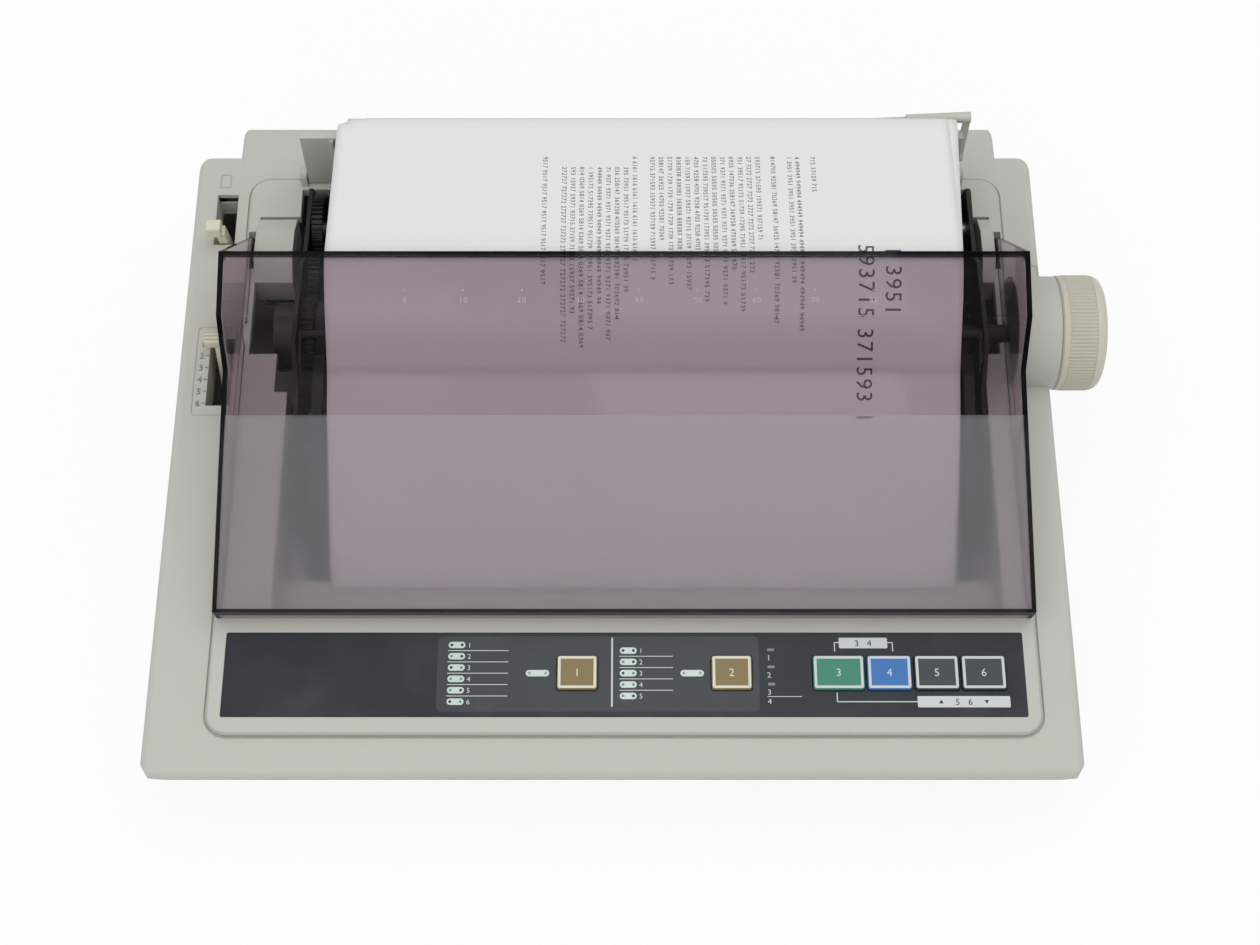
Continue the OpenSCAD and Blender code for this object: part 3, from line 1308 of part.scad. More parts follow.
module rubber_feet() color([0.12, 0.12, 0.12]) in_frame() {
  for (p = foot_places) translate([p[0], p[1], 0]) cylinder(h = foot_h, r = foot_r);
}

module case_screws() color(steel_color) in_frame() {
  for (p = screw_places) translate([p[0], p[1], 0]) {
    translate([0, 0, foot_h + 0.4]) cylinder(h = screw_r * 1.5 - 0.4, r = screw_r * 2);
    translate([0, 0, foot_h + screw_r * 1.5 - fit]) cylinder(h = split_h + screw_len - 8 - foot_h - screw_r * 1.5,
      r = screw_r);
  }
}

sheet_clear = sleeve_r + move_gap + sheet_t / 2;
sheet_drop = 6.5;
sheet_near = 3.3;
sheet_low_y = 148;
sheet_high_y = crease_high_y + 14;
cover_line = [for (i = [1:4]) cover_path[i]];
// The sheet runs up under the cover, over its rear edge and down to the wire
sheet_path = [[well_front + shelf_d - 5, shelf_h + sheet_t + move_gap],
  [sheet_low_y, lookup(sheet_low_y, cover_line) - sheet_drop], [crease_low_y + 0.7, crease_low_h - sheet_near],
  [sheet_high_y, lookup(sheet_high_y, cover_line) - sheet_drop], [cover_rear - 0.5, cover_rear_h - sheet_near],
  [guide_y - 1, cover_rear_h - 5.7], [wire_y - sheet_clear * 0.77, wire_z + sheet_clear * 0.64]];

module paper_sheet() color(white_color) in_frame() {
  across(platen_left + sheet_in_left, platen_right - sheet_in_right)
    polygon(concat(moved_path(sheet_path, sheet_t / 2), reversed(moved_path(sheet_path, -sheet_t / 2))));
}

lower_case();
upper_case();
smoked_cover();
control_panel();
key_font();
key_pitch();
key_on_line();
key_line_feed();
key_tear_off();
key_load_park();
indicator_lenses();
panel_board();
platen_roller();
platen_shaft();
platen_knob();
platen_gear();
idler_gear();
feed_motor();
feed_pinion();
frame_left();
frame_right();
chassis_plate();
carriage_rod();
carriage_rail();
carriage();
print_head();
drive_belt();
drive_pulley();
belt_pulley();
carriage_motor();
ribbon_cartridge();
ribbon();
ribbon_knob();
paper_bail();
bail_rollers();
tractor_left();
tractor_right();
tractor_door_left();
tractor_door_right();
tractor_shaft();
tractor_rod();
tractor_gear();
paper_pan();
pressure_rollers();
release_lever();
head_gap_lever();
sheet_guide();
paper_rest();
main_board();
transformer();
heat_sink();
parallel_connector();
mains_inlet();
switch_frame();
power_switch();
rubber_feet();
case_screws();
paper_sheet();
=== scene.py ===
"""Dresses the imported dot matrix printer: finishes on every part, printed marks, paper, camera and light."""

from __future__ import annotations

import logging
import math
from dataclasses import dataclass
from enum import Enum
from typing import Callable, Sequence, Union

import bmesh
import bpy
from mathutils import Matrix, Vector

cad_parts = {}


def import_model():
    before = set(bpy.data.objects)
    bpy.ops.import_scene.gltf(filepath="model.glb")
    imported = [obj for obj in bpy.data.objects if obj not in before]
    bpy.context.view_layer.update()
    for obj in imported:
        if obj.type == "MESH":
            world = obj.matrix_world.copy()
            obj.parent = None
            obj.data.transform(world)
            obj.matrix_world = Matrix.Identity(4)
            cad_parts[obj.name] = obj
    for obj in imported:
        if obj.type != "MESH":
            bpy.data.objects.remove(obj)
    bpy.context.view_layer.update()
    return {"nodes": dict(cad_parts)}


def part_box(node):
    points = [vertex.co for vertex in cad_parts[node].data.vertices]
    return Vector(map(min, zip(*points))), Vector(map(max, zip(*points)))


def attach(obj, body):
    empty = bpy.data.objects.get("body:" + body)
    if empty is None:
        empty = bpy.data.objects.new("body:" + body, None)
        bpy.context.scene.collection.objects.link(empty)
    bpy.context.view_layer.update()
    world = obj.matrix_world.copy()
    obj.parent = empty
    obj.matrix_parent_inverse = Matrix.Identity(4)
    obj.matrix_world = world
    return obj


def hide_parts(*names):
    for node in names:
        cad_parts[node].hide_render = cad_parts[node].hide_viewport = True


LOG = logging.getLogger("printer")
MM = 0.001
TINY = 1e-9
BEVEL_SAMPLES = 6
DIGIT_SHARE = 0.73
MARK_SINK = 0.02
Rgb = tuple[float, float, float]
Number = Union[float, "Sock"]


class Body(Enum):
    """The bodies that the scene's own pieces ride on."""

    CASE = "case"
    COVER = "cover"
    FONT_KEY = "font_key"
    PITCH_KEY = "pitch_key"
    ON_LINE_KEY = "on_line_key"
    LINE_FEED_KEY = "line_feed_key"
    TEAR_OFF_KEY = "tear_off_key"
    LOAD_PARK_KEY = "load_park_key"


KEYS = {
    "key_font": Body.FONT_KEY,
    "key_pitch": Body.PITCH_KEY,
    "key_on_line": Body.ON_LINE_KEY,
    "key_line_feed": Body.LINE_FEED_KEY,
    "key_tear_off": Body.TEAR_OFF_KEY,
    "key_load_park": Body.LOAD_PARK_KEY,
}


def srgb(red: int, green: int, blue: int) -> Rgb:
    """Turns screen values from 0 to 255 into the linear colour that a shader takes."""
    parts = [c / 255 for c in (red, green, blue)]
    return tuple(c / 12.92 if c <= 0.04045 else ((c + 0.055) / 1.055) ** 2.4 for c in parts)


class Sock:
    """A node's output that Python's operators combine through Math nodes."""

    def __init__(self, shade: Shade, socket: bpy.types.NodeSocket) -> None:
        """Keeps the node tree and the output."""
        self.shade = shade
        self.socket = socket

    def math(self, operation: str, first: Number, second: Number = 0.0, third: Number = 0.0) -> Sock:
        """Adds a Math node.

        Args:
            operation: the Math node's operation.
            first: its first value.
            second: its second value.
            third: its third value.

        Returns:
            The node's output.
        """
        return self.shade.node("ShaderNodeMath", {"operation": operation}, {0: first, 1: second, 2: third})

    def __add__(self, other: Number) -> Sock:
        """Sum."""
        return self.math("ADD", self, other)

    __radd__ = __add__

    def __sub__(self, other: Number) -> Sock:
        """Difference."""
        return self.math("SUBTRACT", self, other)

    def __rsub__(self, other: Number) -> Sock:
        """Difference, the other way round."""
        return self.math("SUBTRACT", other, self)

    def __mul__(self, other: Number) -> Sock:
        """Product."""
        return self.math("MULTIPLY", self, other)

    __rmul__ = __mul__

    def __abs__(self) -> Sock:
        """Size without the sign."""
        return self.math("ABSOLUTE", self)

    def at_least(self, floor: Number) -> Sock:
        """The larger of this and another."""
        return self.math("MAXIMUM", self, floor)

    def __gt__(self, other: Number) -> Sock:
        """1 where this is larger."""
        return self.math("GREATER_THAN", self, other)

    def __lt__(self, other: Number) -> Sock:
        """1 where this is smaller."""
        return self.math("LESS_THAN", self, other)

    def ramp(self, low: float, high: float) -> Sock:
        """A smooth step from 0 at low to 1 at high."""
        return self.shade.node("ShaderNodeMapRange", {"interpolation_type": "SMOOTHSTEP"},
                               {"Value": self, "From Min": low, "From Max": high})


class Shade:
    """One material and the expressions that build it."""

    def __init__(self, name: str) -> None:
        """Makes an empty material with its output node."""
        self.material = bpy.data.materials.new(name)
        self.material.use_nodes = True
        self.tree = self.material.node_tree
        self.tree.nodes.clear()
        self.out = self.tree.nodes.new("ShaderNodeOutputMaterial")

    def raw(self, kind: str, settings: dict | None = None, inputs: dict | None = None) -> bpy.types.Node:
        """Adds a node.

        Args:
            kind: the node's type.
            settings: its properties, set before its sockets.
            inputs: socket name or place to a value or a Sock.

        Returns:
            The node.
        """
        made = self.tree.nodes.new(kind)
        for key, value in (settings or {}).items():
            setattr(made, key, value)
        for key, value in (inputs or {}).items():
            if isinstance(value, Sock):
                self.tree.links.new(value.socket, made.inputs[key])
            elif isinstance(value, tuple) and made.inputs[key].type == "RGBA" and len(value) == 3:
                made.inputs[key].default_value = (*value, 1)
            else:
                made.inputs[key].default_value = value
        return made

    def node(self, kind: str, settings: dict | None = None, inputs: dict | None = None,
             output: int | str = 0) -> Sock:
        """Adds a node and returns one of its outputs; the arguments are those of raw."""
        return Sock(self, self.raw(kind, settings, inputs).outputs[output])

    def place(self) -> Sock:
        """The object's own coordinates, in metres."""
        return self.node("ShaderNodeTexCoord", output="Object")

    def split(self, vector: Sock) -> list[Sock]:
        """A vector's X, Y and Z as three numbers."""
        return [Sock(self, out) for out in self.raw("ShaderNodeSeparateXYZ", inputs={0: vector}).outputs]

    def axes(self) -> list[Sock]:
        """The object's X, Y and Z as three numbers."""
        return self.split(self.place())

    def noise(self, size: float, detail: float = 3.0, where: Sock | None = None) -> Sock:
        """Noise whose blobs are about size metres across."""
        return self.node("ShaderNodeTexNoise", {}, {"Vector": where or self.place(), "Scale": 1 / size,
                                                    "Detail": detail}, "Fac")

    def mix(self, factor: Number, first: Rgb | Sock, second: Rgb | Sock) -> Sock:
        """A colour between two colours."""
        return self.node("ShaderNodeMix", {"data_type": "RGBA"}, {0: factor, 6: first, 7: second}, 2)

    def stretched(self, scale: Sequence[float]) -> Sock:
        """The object's coordinates, stretched along its axes."""
        return self.node("ShaderNodeMapping", {}, {"Vector": self.place(), "Scale": tuple(scale)})

    def normal(self, height: Sock, depth: float, edge: float) -> Sock:
        """A bump of some depth over edges rounded by a small radius, both in metres; no rounding at 0."""
        inputs = {"Height": height, "Distance": depth, "Strength": 1.0}
        if edge > 0:
            inputs["Normal"] = self.node("ShaderNodeBevel", {"samples": BEVEL_SAMPLES}, {"Radius": edge})
        return self.node("ShaderNodeBump", {}, inputs)

    def surface(self, inputs: dict) -> Sock:
        """A Principled shader with these inputs."""
        return self.node("ShaderNodeBsdfPrincipled", {}, inputs)

    def done(self, shader: Sock) -> bpy.types.Material:
        """Joins a shader to the output and returns the material."""
        self.tree.links.new(shader.socket, self.out.inputs["Surface"])
        return self.material


@dataclass(frozen=True)
class Moulded:
    """Moulded plastic: fine matt grain, faint flow in its colour and worn, slightly shiny patches."""

    name: str
    color: Rgb
    roughness: float = 0.5
    grain: float = 0.0006
    depth: float = 0.00003
    edge: float = 0.0006
    mottle: float = 0.03

    def make(self) -> bpy.types.Material:
        """Builds the material."""
        shade = Shade(self.name)
        dark = tuple(c * (1 - self.mottle) for c in self.color)
        light = tuple(min(c * (1 + self.mottle), 1.0) for c in self.color)
        flow = shade.noise(0.05, 2)
        fine = shade.noise(self.grain, 2)
        color = shade.mix(flow * 0.7 + fine * 0.3, dark, light)
        rough = self.roughness + (shade.noise(0.018, 4) - 0.5) * 0.12
        return shade.done(shade.surface({"Base Color": color, "Roughness": rough, "Specular IOR Level": 0.4,
                                         "Normal": shade.normal(fine, self.depth, self.edge)}))


@dataclass(frozen=True)
class Metal:
    """Bare or plated metal with fine lines along one axis."""

    name: str
    color: Rgb
    roughness: float = 0.3
    along: tuple[float, float, float] = (0.05, 1.0, 1.0)
    depth: float = 0.00001
    edge: float = 0.0003

    def make(self) -> bpy.types.Material:
        """Builds the material."""
        shade = Shade(self.name)
        lines = shade.noise(0.0005, 3, shade.stretched(self.along))
        cloud = shade.noise(0.012, 3)
        color = shade.mix(cloud, tuple(c * 0.85 for c in self.color), self.color)
        return shade.done(shade.surface({"Base Color": color, "Metallic": 1.0,
                                         "Roughness": self.roughness + (lines - 0.5) * 0.2,
                                         "Normal": shade.normal(lines, self.depth, self.edge)}))


@dataclass(frozen=True)
class Painted:
    """Painted or blackened sheet: slight orange peel and dust that dulls it."""

    name: str
    color: Rgb
    roughness: float = 0.4
    dust: float = 0.12

    def make(self) -> bpy.types.Material:
        """Builds the material."""
        shade = Shade(self.name)
        dust = shade.noise(0.004, 6).ramp(0.45, 0.8)
        color = shade.mix(dust * self.dust, self.color, srgb(120, 118, 112))
        return shade.done(shade.surface({"Base Color": color, "Roughness": self.roughness + dust * 0.2,
                                         "Normal": shade.normal(shade.noise(0.0012, 2), 0.00003, 0.0004)}))


@dataclass(frozen=True)
class Rubber:
    """Ground rubber: dull, with fine turning marks round its axis along X."""

    name: str
    color: Rgb
    roughness: float = 0.7

    def make(self) -> bpy.types.Material:
        """Builds the material."""
        shade = Shade(self.name)
        marks = shade.noise(0.0006, 2, shade.stretched((3.0, 0.2, 0.2)))
        wear = shade.noise(0.02, 4)
        color = shade.mix(wear * 0.5, self.color, tuple(min(c * 2 + 0.01, 1) for c in self.color))
        rough = self.roughness + (wear - 0.5) * 0.15
        return shade.done(shade.surface({"Base Color": color, "Roughness": rough,
                                         "Normal": shade.normal(marks, 0.00002, 0.0004)}))


@dataclass(frozen=True)
class Smoked:
    """The cover's smoked plastic: clear at the top, sandblasted at the front, with its side, rear and lip
    edges painted near black as painted shade for the dark look of its thick walls seen edge-on.
    """

    name: str
    tint: Rgb
    haze: Rgb
    low: Vector
    high: Vector
    rear_y: float
    frost_reach: float = 0.0828
    frost: float = 0.1
    clear_rough: float = 0.02
    frost_rough: float = 0.3
    ior: float = 1.18
    # Near-black painted shade for the cover's edges.
    edge_color: Rgb = (0.012, 0.012, 0.015)
    edge_w: float = 0.0019
    rear_w: float = 0.0016
    rear_h: float = 0.006
    lip_d: float = 0.0013

    def make(self) -> bpy.types.Material:
        """Builds the material."""
        shade = Shade(self.name)
        across, depth, height = shade.axes()
        facing_x = shade.split(shade.node("ShaderNodeNewGeometry", output="Normal"))[0]
        panels = abs(facing_x) < 0.5
        # Painted shade: the side bands, the rear top band and the front lip are coloured near black, standing
        # in for the darkness of the thick walls seen edge-on.
        sides = (across < self.low.x + self.edge_w) + (across > self.high.x - self.edge_w)
        rear = (depth > self.rear_y - self.rear_w) * (height > self.high.z - self.rear_h)
        lip = depth < self.low.y + self.lip_d
        dark = shade.node("ShaderNodeClamp", {}, {0: sides * panels + rear + lip})
        speckle = shade.noise(0.0009, 2)
        frosted = depth < self.low.y + self.frost_reach
        rough = frosted * (self.frost_rough + (speckle - 0.5) * 0.1) + self.clear_rough
        bump = shade.normal(speckle * frosted, 0.00003, 0.0006)
        color = shade.mix(dark, self.tint, self.edge_color)
        glass = shade.surface({"Base Color": color, "Roughness": rough, "Transmission Weight": 1.0,
                               "IOR": self.ior, "Normal": bump})
        haze = shade.node("ShaderNodeBsdfDiffuse", {}, {"Color": self.haze, "Normal": bump})
        veil = frosted * (1 - dark) * (self.frost + (speckle - 0.5) * 0.06)
        return shade.done(shade.node("ShaderNodeMixShader", {}, {0: veil, 1: glass, 2: haze}))


@dataclass(frozen=True)
class Overlay:
    """The panel's printed overlay: dark satin film with a lighter rounded field behind the two tables."""

    name: str
    color: Rgb
    field: Rgb
    middle: Vector
    half: Vector
    slope: float
    corner: float = 0.0025

    def make(self) -> bpy.types.Material:
        """Builds the material."""
        shade = Shade(self.name)
        across, depth, height = shade.axes()
        level, rise = math.cos(self.slope), math.sin(self.slope)
        along = (depth - self.middle.y) * level + (height - self.middle.z) * rise
        side = abs(across - self.middle.x) - (self.half.x - self.corner)
        end = abs(along) - (self.half.y - self.corner)
        out_x, out_y = side.at_least(0.0), end.at_least(0.0)
        inside = (out_x * out_x + out_y * out_y) < self.corner ** 2
        fine = shade.noise(0.0005, 2)
        cloud = shade.noise(0.03, 4)
        color = shade.mix(inside, self.color, self.field)
        worn = shade.mix(cloud.ramp(0.4, 0.9) * 0.14, color, srgb(120, 124, 126))
        return shade.done(shade.surface({"Base Color": worn, "Roughness": 0.36 + (cloud - 0.5) * 0.2,
                                         "Specular IOR Level": 0.3,
                                         "Normal": shade.normal(fine, 0.000008, 0.0003)}))


@dataclass(frozen=True)
class Lens:
    """Windows that show the light ground under them, and the unlit lamps at one side."""

    name: str
    color: Rgb
    unlit: Rgb
    lamps_from: float

    def make(self) -> bpy.types.Material:
        """Builds the material."""
        shade = Shade(self.name)
        across = shade.axes()[0]
        cloud = shade.noise(0.002, 2)
        color = shade.mix(across > self.lamps_from, self.color, self.unlit)
        tone = shade.mix(cloud * 0.25, color, tuple(c * 0.8 for c in self.color))
        return shade.done(shade.surface({"Base Color": tone, "Roughness": 0.22 + (cloud - 0.5) * 0.1,
                                         "Normal": shade.normal(cloud, 0.00001, 0.0002)}))


@dataclass(frozen=True)
class Paper:
    """Plain bond paper with a faint fibre texture."""

    name: str
    color: Rgb

    def make(self) -> bpy.types.Material:
        """Builds the material."""
        shade = Shade(self.name)
        fibre = shade.noise(0.0008, 5)
        cloud = shade.noise(0.03, 3)
        color = shade.mix(cloud * 0.4 + fibre * 0.3, tuple(c * 0.96 for c in self.color), self.color)
        return shade.done(shade.surface({"Base Color": color, "Roughness": 0.85 + (fibre - 0.5) * 0.1,
                                         "Specular IOR Level": 0.2,
                                         "Normal": shade.normal(fibre, 0.00002, 0.0)}))


@dataclass(frozen=True)
class Board:
    """Circuit board: green mask over a grid of copper tracks."""

    name: str
    color: Rgb

    def make(self) -> bpy.types.Material:
        """Builds the material."""
        shade = Shade(self.name)
        grid = {"Vector": shade.place(), "Scale": 140.0, "Mortar Size": 0.03, "Color1": (0, 0, 0),
                "Color2": (0.1, 0.1, 0.1), "Mortar": (1, 1, 1)}
        bricks = shade.node("ShaderNodeTexBrick", {}, grid, "Fac")
        color = shade.mix(bricks, self.color, tuple(min(c * 2.2 + 0.02, 1) for c in self.color))
        rough = 0.35 + (shade.noise(0.01, 3) - 0.5) * 0.1
        return shade.done(shade.surface({"Base Color": color, "Roughness": rough,
                                         "Normal": shade.normal(bricks, 0.00004, 0.0002)}))


class Coat(Enum):
    """The finishes by name."""

    CASE = "case"
    KNOB = "knob"
    LEVER = "lever"
    TAN_KEY = "tan_key"
    GREEN_KEY = "green_key"
    BLUE_KEY = "blue_key"
    GREY_KEY = "grey_key"
    BOARD = "board"
    PLATEN = "platen"
    STEEL = "steel"
    PLATED = "plated"
    GEAR = "gear"
    FRAME = "frame"
    MOTOR = "motor"
    BRASS = "brass"
    BLACK = "black"
    HEAD = "head"
    REST = "rest"
    CORE = "core"
    ALLOY = "alloy"
    FOOT = "foot"
    CLOTH = "cloth"
    PAPER = "paper"
    PALE_INK = "pale_ink"
    CREAM_INK = "cream_ink"
    DARK_INK = "dark_ink"
    GREEN_INK = "green_ink"
    GREY_INK = "grey_ink"
    PRINT_INK = "print_ink"
    SHADE = "shade"
    COVER_MARK = "cover_mark"


FINISHES: dict[Coat, Moulded | Metal | Painted | Rubber | Paper | Board] = {
    Coat.CASE: Moulded("case_plastic", srgb(194, 195, 187), 0.52),
    Coat.KNOB: Moulded("knob_plastic", srgb(204, 200, 186), 0.45),
    Coat.LEVER: Moulded("lever_plastic", srgb(222, 217, 196), 0.42),
    Coat.TAN_KEY: Moulded("tan_key", srgb(134, 117, 76), 0.4, 0.0005, 0.00001, 0.0004),
    Coat.GREEN_KEY: Moulded("green_key", srgb(58, 135, 110), 0.4, 0.0005, 0.00001, 0.0004),
    Coat.BLUE_KEY: Moulded("blue_key", srgb(56, 116, 184), 0.4, 0.0005, 0.00001, 0.0004),
    Coat.GREY_KEY: Moulded("grey_key", srgb(58, 66, 66), 0.4, 0.0005, 0.00001, 0.0004),
    Coat.BOARD: Board("board", srgb(24, 92, 48)),
    Coat.PLATEN: Rubber("platen_rubber", srgb(26, 26, 28), 0.6),
    Coat.STEEL: Metal("steel", srgb(186, 188, 192), 0.28),
    Coat.PLATED: Metal("plated_steel", srgb(165, 168, 172), 0.4, (1.0, 0.1, 1.0)),
    Coat.GEAR: Moulded("gear_plastic", srgb(30, 30, 32), 0.4, 0.0006, 0.00002, 0.0003, 0.15),
    Coat.FRAME: Painted("black_frame", srgb(9, 9, 11), 0.5, 0.05),
    Coat.MOTOR: Painted("motor", srgb(44, 44, 48), 0.35),
    Coat.BRASS: Metal("brass", srgb(190, 156, 92), 0.3),
    Coat.BLACK: Moulded("black_plastic", srgb(14, 14, 16), 0.45, 0.0006, 0.00002, 0.0004, 0.15),
    Coat.HEAD: Metal("head_metal", srgb(70, 70, 74), 0.45),
    Coat.REST: Moulded("rest_plastic", srgb(196, 196, 184), 0.4),
    Coat.CORE: Metal("core", srgb(90, 84, 78), 0.5, (1.0, 0.05, 1.0)),
    Coat.ALLOY: Metal("alloy", srgb(190, 192, 196), 0.35, (1.0, 0.1, 0.1)),
    Coat.FOOT: Rubber("foot_rubber", srgb(30, 30, 30), 0.8),
    Coat.CLOTH: Rubber("ribbon_cloth", srgb(14, 14, 18), 0.9),
    Coat.PAPER: Paper("paper", srgb(233, 233, 232)),
    Coat.PALE_INK: Moulded("pale_ink", srgb(205, 212, 212), 0.4, 0.0004, 0.000005, 0.0),
    Coat.CREAM_INK: Moulded("cream_ink", srgb(224, 220, 204), 0.4, 0.0004, 0.000005, 0.0),
    Coat.DARK_INK: Moulded("dark_ink", srgb(28, 31, 33), 0.35, 0.0004, 0.000005, 0.0),
    Coat.GREEN_INK: Moulded("green_ink", srgb(104, 150, 134), 0.35, 0.0004, 0.000005, 0.0),
    Coat.GREY_INK: Moulded("grey_ink", srgb(150, 158, 160), 0.35, 0.0004, 0.000005, 0.0),
    Coat.PRINT_INK: Paper("print_ink", srgb(92, 92, 96)),
    # Painted shade: the gap numbers are the case's colour, made darker to stand in for the shading of their
    # relief.
    Coat.SHADE: Moulded("painted_shade_plastic", srgb(150, 151, 145), 0.55),
    Coat.COVER_MARK: Moulded("cover_mark", srgb(190, 180, 190), 0.3, 0.0004, 0.000005, 0.0002),
}
PARTS: dict[Coat, tuple[str, ...]] = {
    Coat.CASE: ("lower_case", "upper_case", "sheet_guide"),
    Coat.KNOB: ("platen_knob",),
    Coat.LEVER: ("head_gap_lever", "release_lever"),
    Coat.TAN_KEY: ("key_font", "key_pitch"),
    Coat.GREEN_KEY: ("key_on_line",),
    Coat.BLUE_KEY: ("key_line_feed",),
    Coat.GREY_KEY: ("key_tear_off", "key_load_park"),
    Coat.BOARD: ("panel_board", "main_board"),
    Coat.PLATEN: ("platen_roller", "bail_rollers", "pressure_rollers", "drive_belt"),
    Coat.STEEL: ("carriage_rod", "carriage_rail", "tractor_shaft", "tractor_rod", "case_screws"),
    Coat.PLATED: ("chassis_plate",),
    Coat.GEAR: ("platen_gear", "idler_gear", "tractor_gear", "belt_pulley"),
    Coat.FRAME: ("frame_left", "frame_right", "platen_shaft", "paper_bail"),
    Coat.MOTOR: ("feed_motor", "carriage_motor"),
    Coat.BRASS: ("feed_pinion", "drive_pulley"),
    Coat.BLACK: ("carriage", "ribbon_cartridge", "ribbon_knob", "tractor_left", "tractor_right",
                 "tractor_door_left", "tractor_door_right", "paper_pan", "parallel_connector", "mains_inlet",
                 "switch_frame", "power_switch"),
    Coat.HEAD: ("print_head",),
    Coat.REST: ("paper_rest",),
    Coat.CORE: ("transformer",),
    Coat.ALLOY: ("heat_sink",),
    Coat.FOOT: ("rubber_feet",),
    Coat.CLOTH: ("ribbon",),
    Coat.PAPER: ("paper_sheet",),
}


def dress(piece: bpy.types.Object, material: bpy.types.Material) -> None:
    """Puts one material in a piece's first slot, or in every slot that it has."""
    if not piece.material_slots:
        piece.data.materials.append(material)
    for slot in piece.material_slots:
        slot.material = material


@dataclass
class Ground:
    """The printer's own millimetres: X from the case's middle, Y from its front, Z up from the table."""

    left: float
    front: float
    half: float = 200.0
    nose: float = 1.5
    slope: float = math.radians(6.4)
    rim: float = 50.0
    deck: float = 2.3

    @classmethod
    def read(cls) -> Ground:
        """Finds the case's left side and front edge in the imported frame."""
        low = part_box("upper_case")[0]
        return cls(low[0], low[1])

    def spot(self, x: float, y: float, z: float) -> Vector:
        """A point of the printer in the frame's metres."""
        return Vector((self.left + (self.half + x) * MM, self.front + (self.nose + y) * MM, z * MM))

    def inside(self, x: float) -> float:
        """A frame X in metres as the printer's own X in millimetres."""
        return (x - self.left) / MM - self.half

    def on_rim(self, x: float, y: float, up: float) -> Vector:
        """A point over the sloping rim: y runs up the slope and up stands square to it."""
        cos, sin = math.cos(self.slope), math.sin(self.slope)
        return self.spot(x, y * cos - up * sin, self.rim + y * sin + up * cos)

    def on_deck(self, x: float, y: float, up: float) -> Vector:
        """A point over the raised deck."""
        return self.on_rim(x, y, self.deck + up)


Place = Callable[[float, float, float], Vector]


class Ink:
    """Flat shapes drawn in millimetres, then laid on a surface as one thin piece."""

    def __init__(self) -> None:
        """Starts an empty drawing."""
        self.form = bmesh.new()

    def plate(self, x0: float, y0: float, x1: float, y1: float, radius: float = 0.0) -> bmesh.types.BMFace:
        """Draws a rectangle with rounded corners.

        Args:
            x0: its left side.
            y0: its front side.
            x1: its right side.
            y1: its rear side.
            radius: the radius of its corners.

        Returns:
            The face.
        """
        corners = [self.form.verts.new((x, y, 0)) for x, y in ((x0, y0), (x1, y0), (x1, y1), (x0, y1))]
        face = self.form.faces.new(corners)
        face.normal_update()
        if radius > 0:
            made = bmesh.ops.bevel(self.form, geom=corners, offset=radius, offset_type="OFFSET",
                                   affect="VERTICES", segments=5, profile=0.5, material=-1)
            face = max(made["verts"][0].link_faces, key=lambda f: len(f.verts))
            face.normal_update()
        return face

    def ring(self, x0: float, y0: float, x1: float, y1: float, radius: float, width: float) -> None:
        """Draws the outline of a rounded rectangle; width is the thickness of the line."""
        face = self.plate(x0, y0, x1, y1, radius)
        bmesh.ops.inset_region(self.form, faces=[face], thickness=width, use_boundary=True,
                               use_even_offset=True)
        bmesh.ops.delete(self.form, geom=[face], context="FACES_ONLY")

    def line(self, x0: float, y0: float, x1: float, y1: float, width: float) -> None:
        """Draws a straight line along X or Y."""
        half = width / 2
        self.plate(min(x0, x1) - half, min(y0, y1) - half, max(x0, x1) + half, max(y0, y1) + half)

    def dot(self, x: float, y: float, radius: float, sides: int = 14, turn: float = 0.0) -> None:
        """Draws a disc, or with three sides a triangle."""
        where = Matrix.Translation((x, y, 0)) @ Matrix.Rotation(turn, 4, "Z")
        bmesh.ops.create_circle(self.form, cap_ends=True, segments=sides, radius=radius, matrix=where)

    def digits(self, words: str, x: float, y: float, height: float, turn: float = 0.0, align: str = "LEFT",
               spread: float = 1.0) -> None:
        """Writes plain numbers.

        Args:
            words: the digits and spaces.
            x: where they start, or their middle.
            y: the middle of their height.
            height: the height of a digit.
            turn: the turn of the line, in radians.
            align: LEFT or CENTER.
            spread: the space between characters.
        """
        curve = bpy.data.curves.new("digits", "FONT")
        curve.body = words
        curve.size = height / DIGIT_SHARE
        curve.align_x = align
        curve.space_character = spread
        curve.resolution_u = 2
        holder = bpy.data.objects.new("digits", curve)
        mesh = bpy.data.meshes.new_from_object(holder)
        mesh.transform(Matrix.Translation((x, y, 0)) @ Matrix.Rotation(turn, 4, "Z")
                       @ Matrix.Translation((0, -height / 2, 0)))
        self.form.from_mesh(mesh)
        bpy.data.objects.remove(holder)
        bpy.data.meshes.remove(mesh)

    def lay(self, name: str, body: Body, place: Place, low: float, thick: float,
            material: bpy.types.Material) -> bpy.types.Object:
        """Gives the drawing its thickness and lays it on a surface.

        Args:
            name: the piece's name.
            body: the body that it rides on.
            place: turns x, y and a height into a point in metres.
            low: the height of its underside over the surface.
            thick: its thickness.
            material: its finish.

        Returns:
            The piece.
        """
        self.form.normal_update()
        bmesh.ops.solidify(self.form, geom=self.form.faces[:], thickness=thick)
        bmesh.ops.recalc_face_normals(self.form, faces=self.form.faces[:])
        base = min(v.co.z for v in self.form.verts)
        for vert in self.form.verts:
            vert.co = place(vert.co.x, vert.co.y, vert.co.z - base + low)
        mesh = bpy.data.meshes.new(name)
        self.form.to_mesh(mesh)
        self.form.free()
        piece = bpy.data.objects.new(name, mesh)
        bpy.context.collection.objects.link(piece)
        piece.data.materials.append(material)
        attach(piece, body.value)
        LOG.info("%s rides on %s: %d faces", name, body.value, len(mesh.polygons))
        return piece


@dataclass(frozen=True)
class Table:
    """One indicator table, in millimetres; start and middle are measured from the panel's right side."""

    start: float
    length: float
    middle: float
    rows: int
    top: float


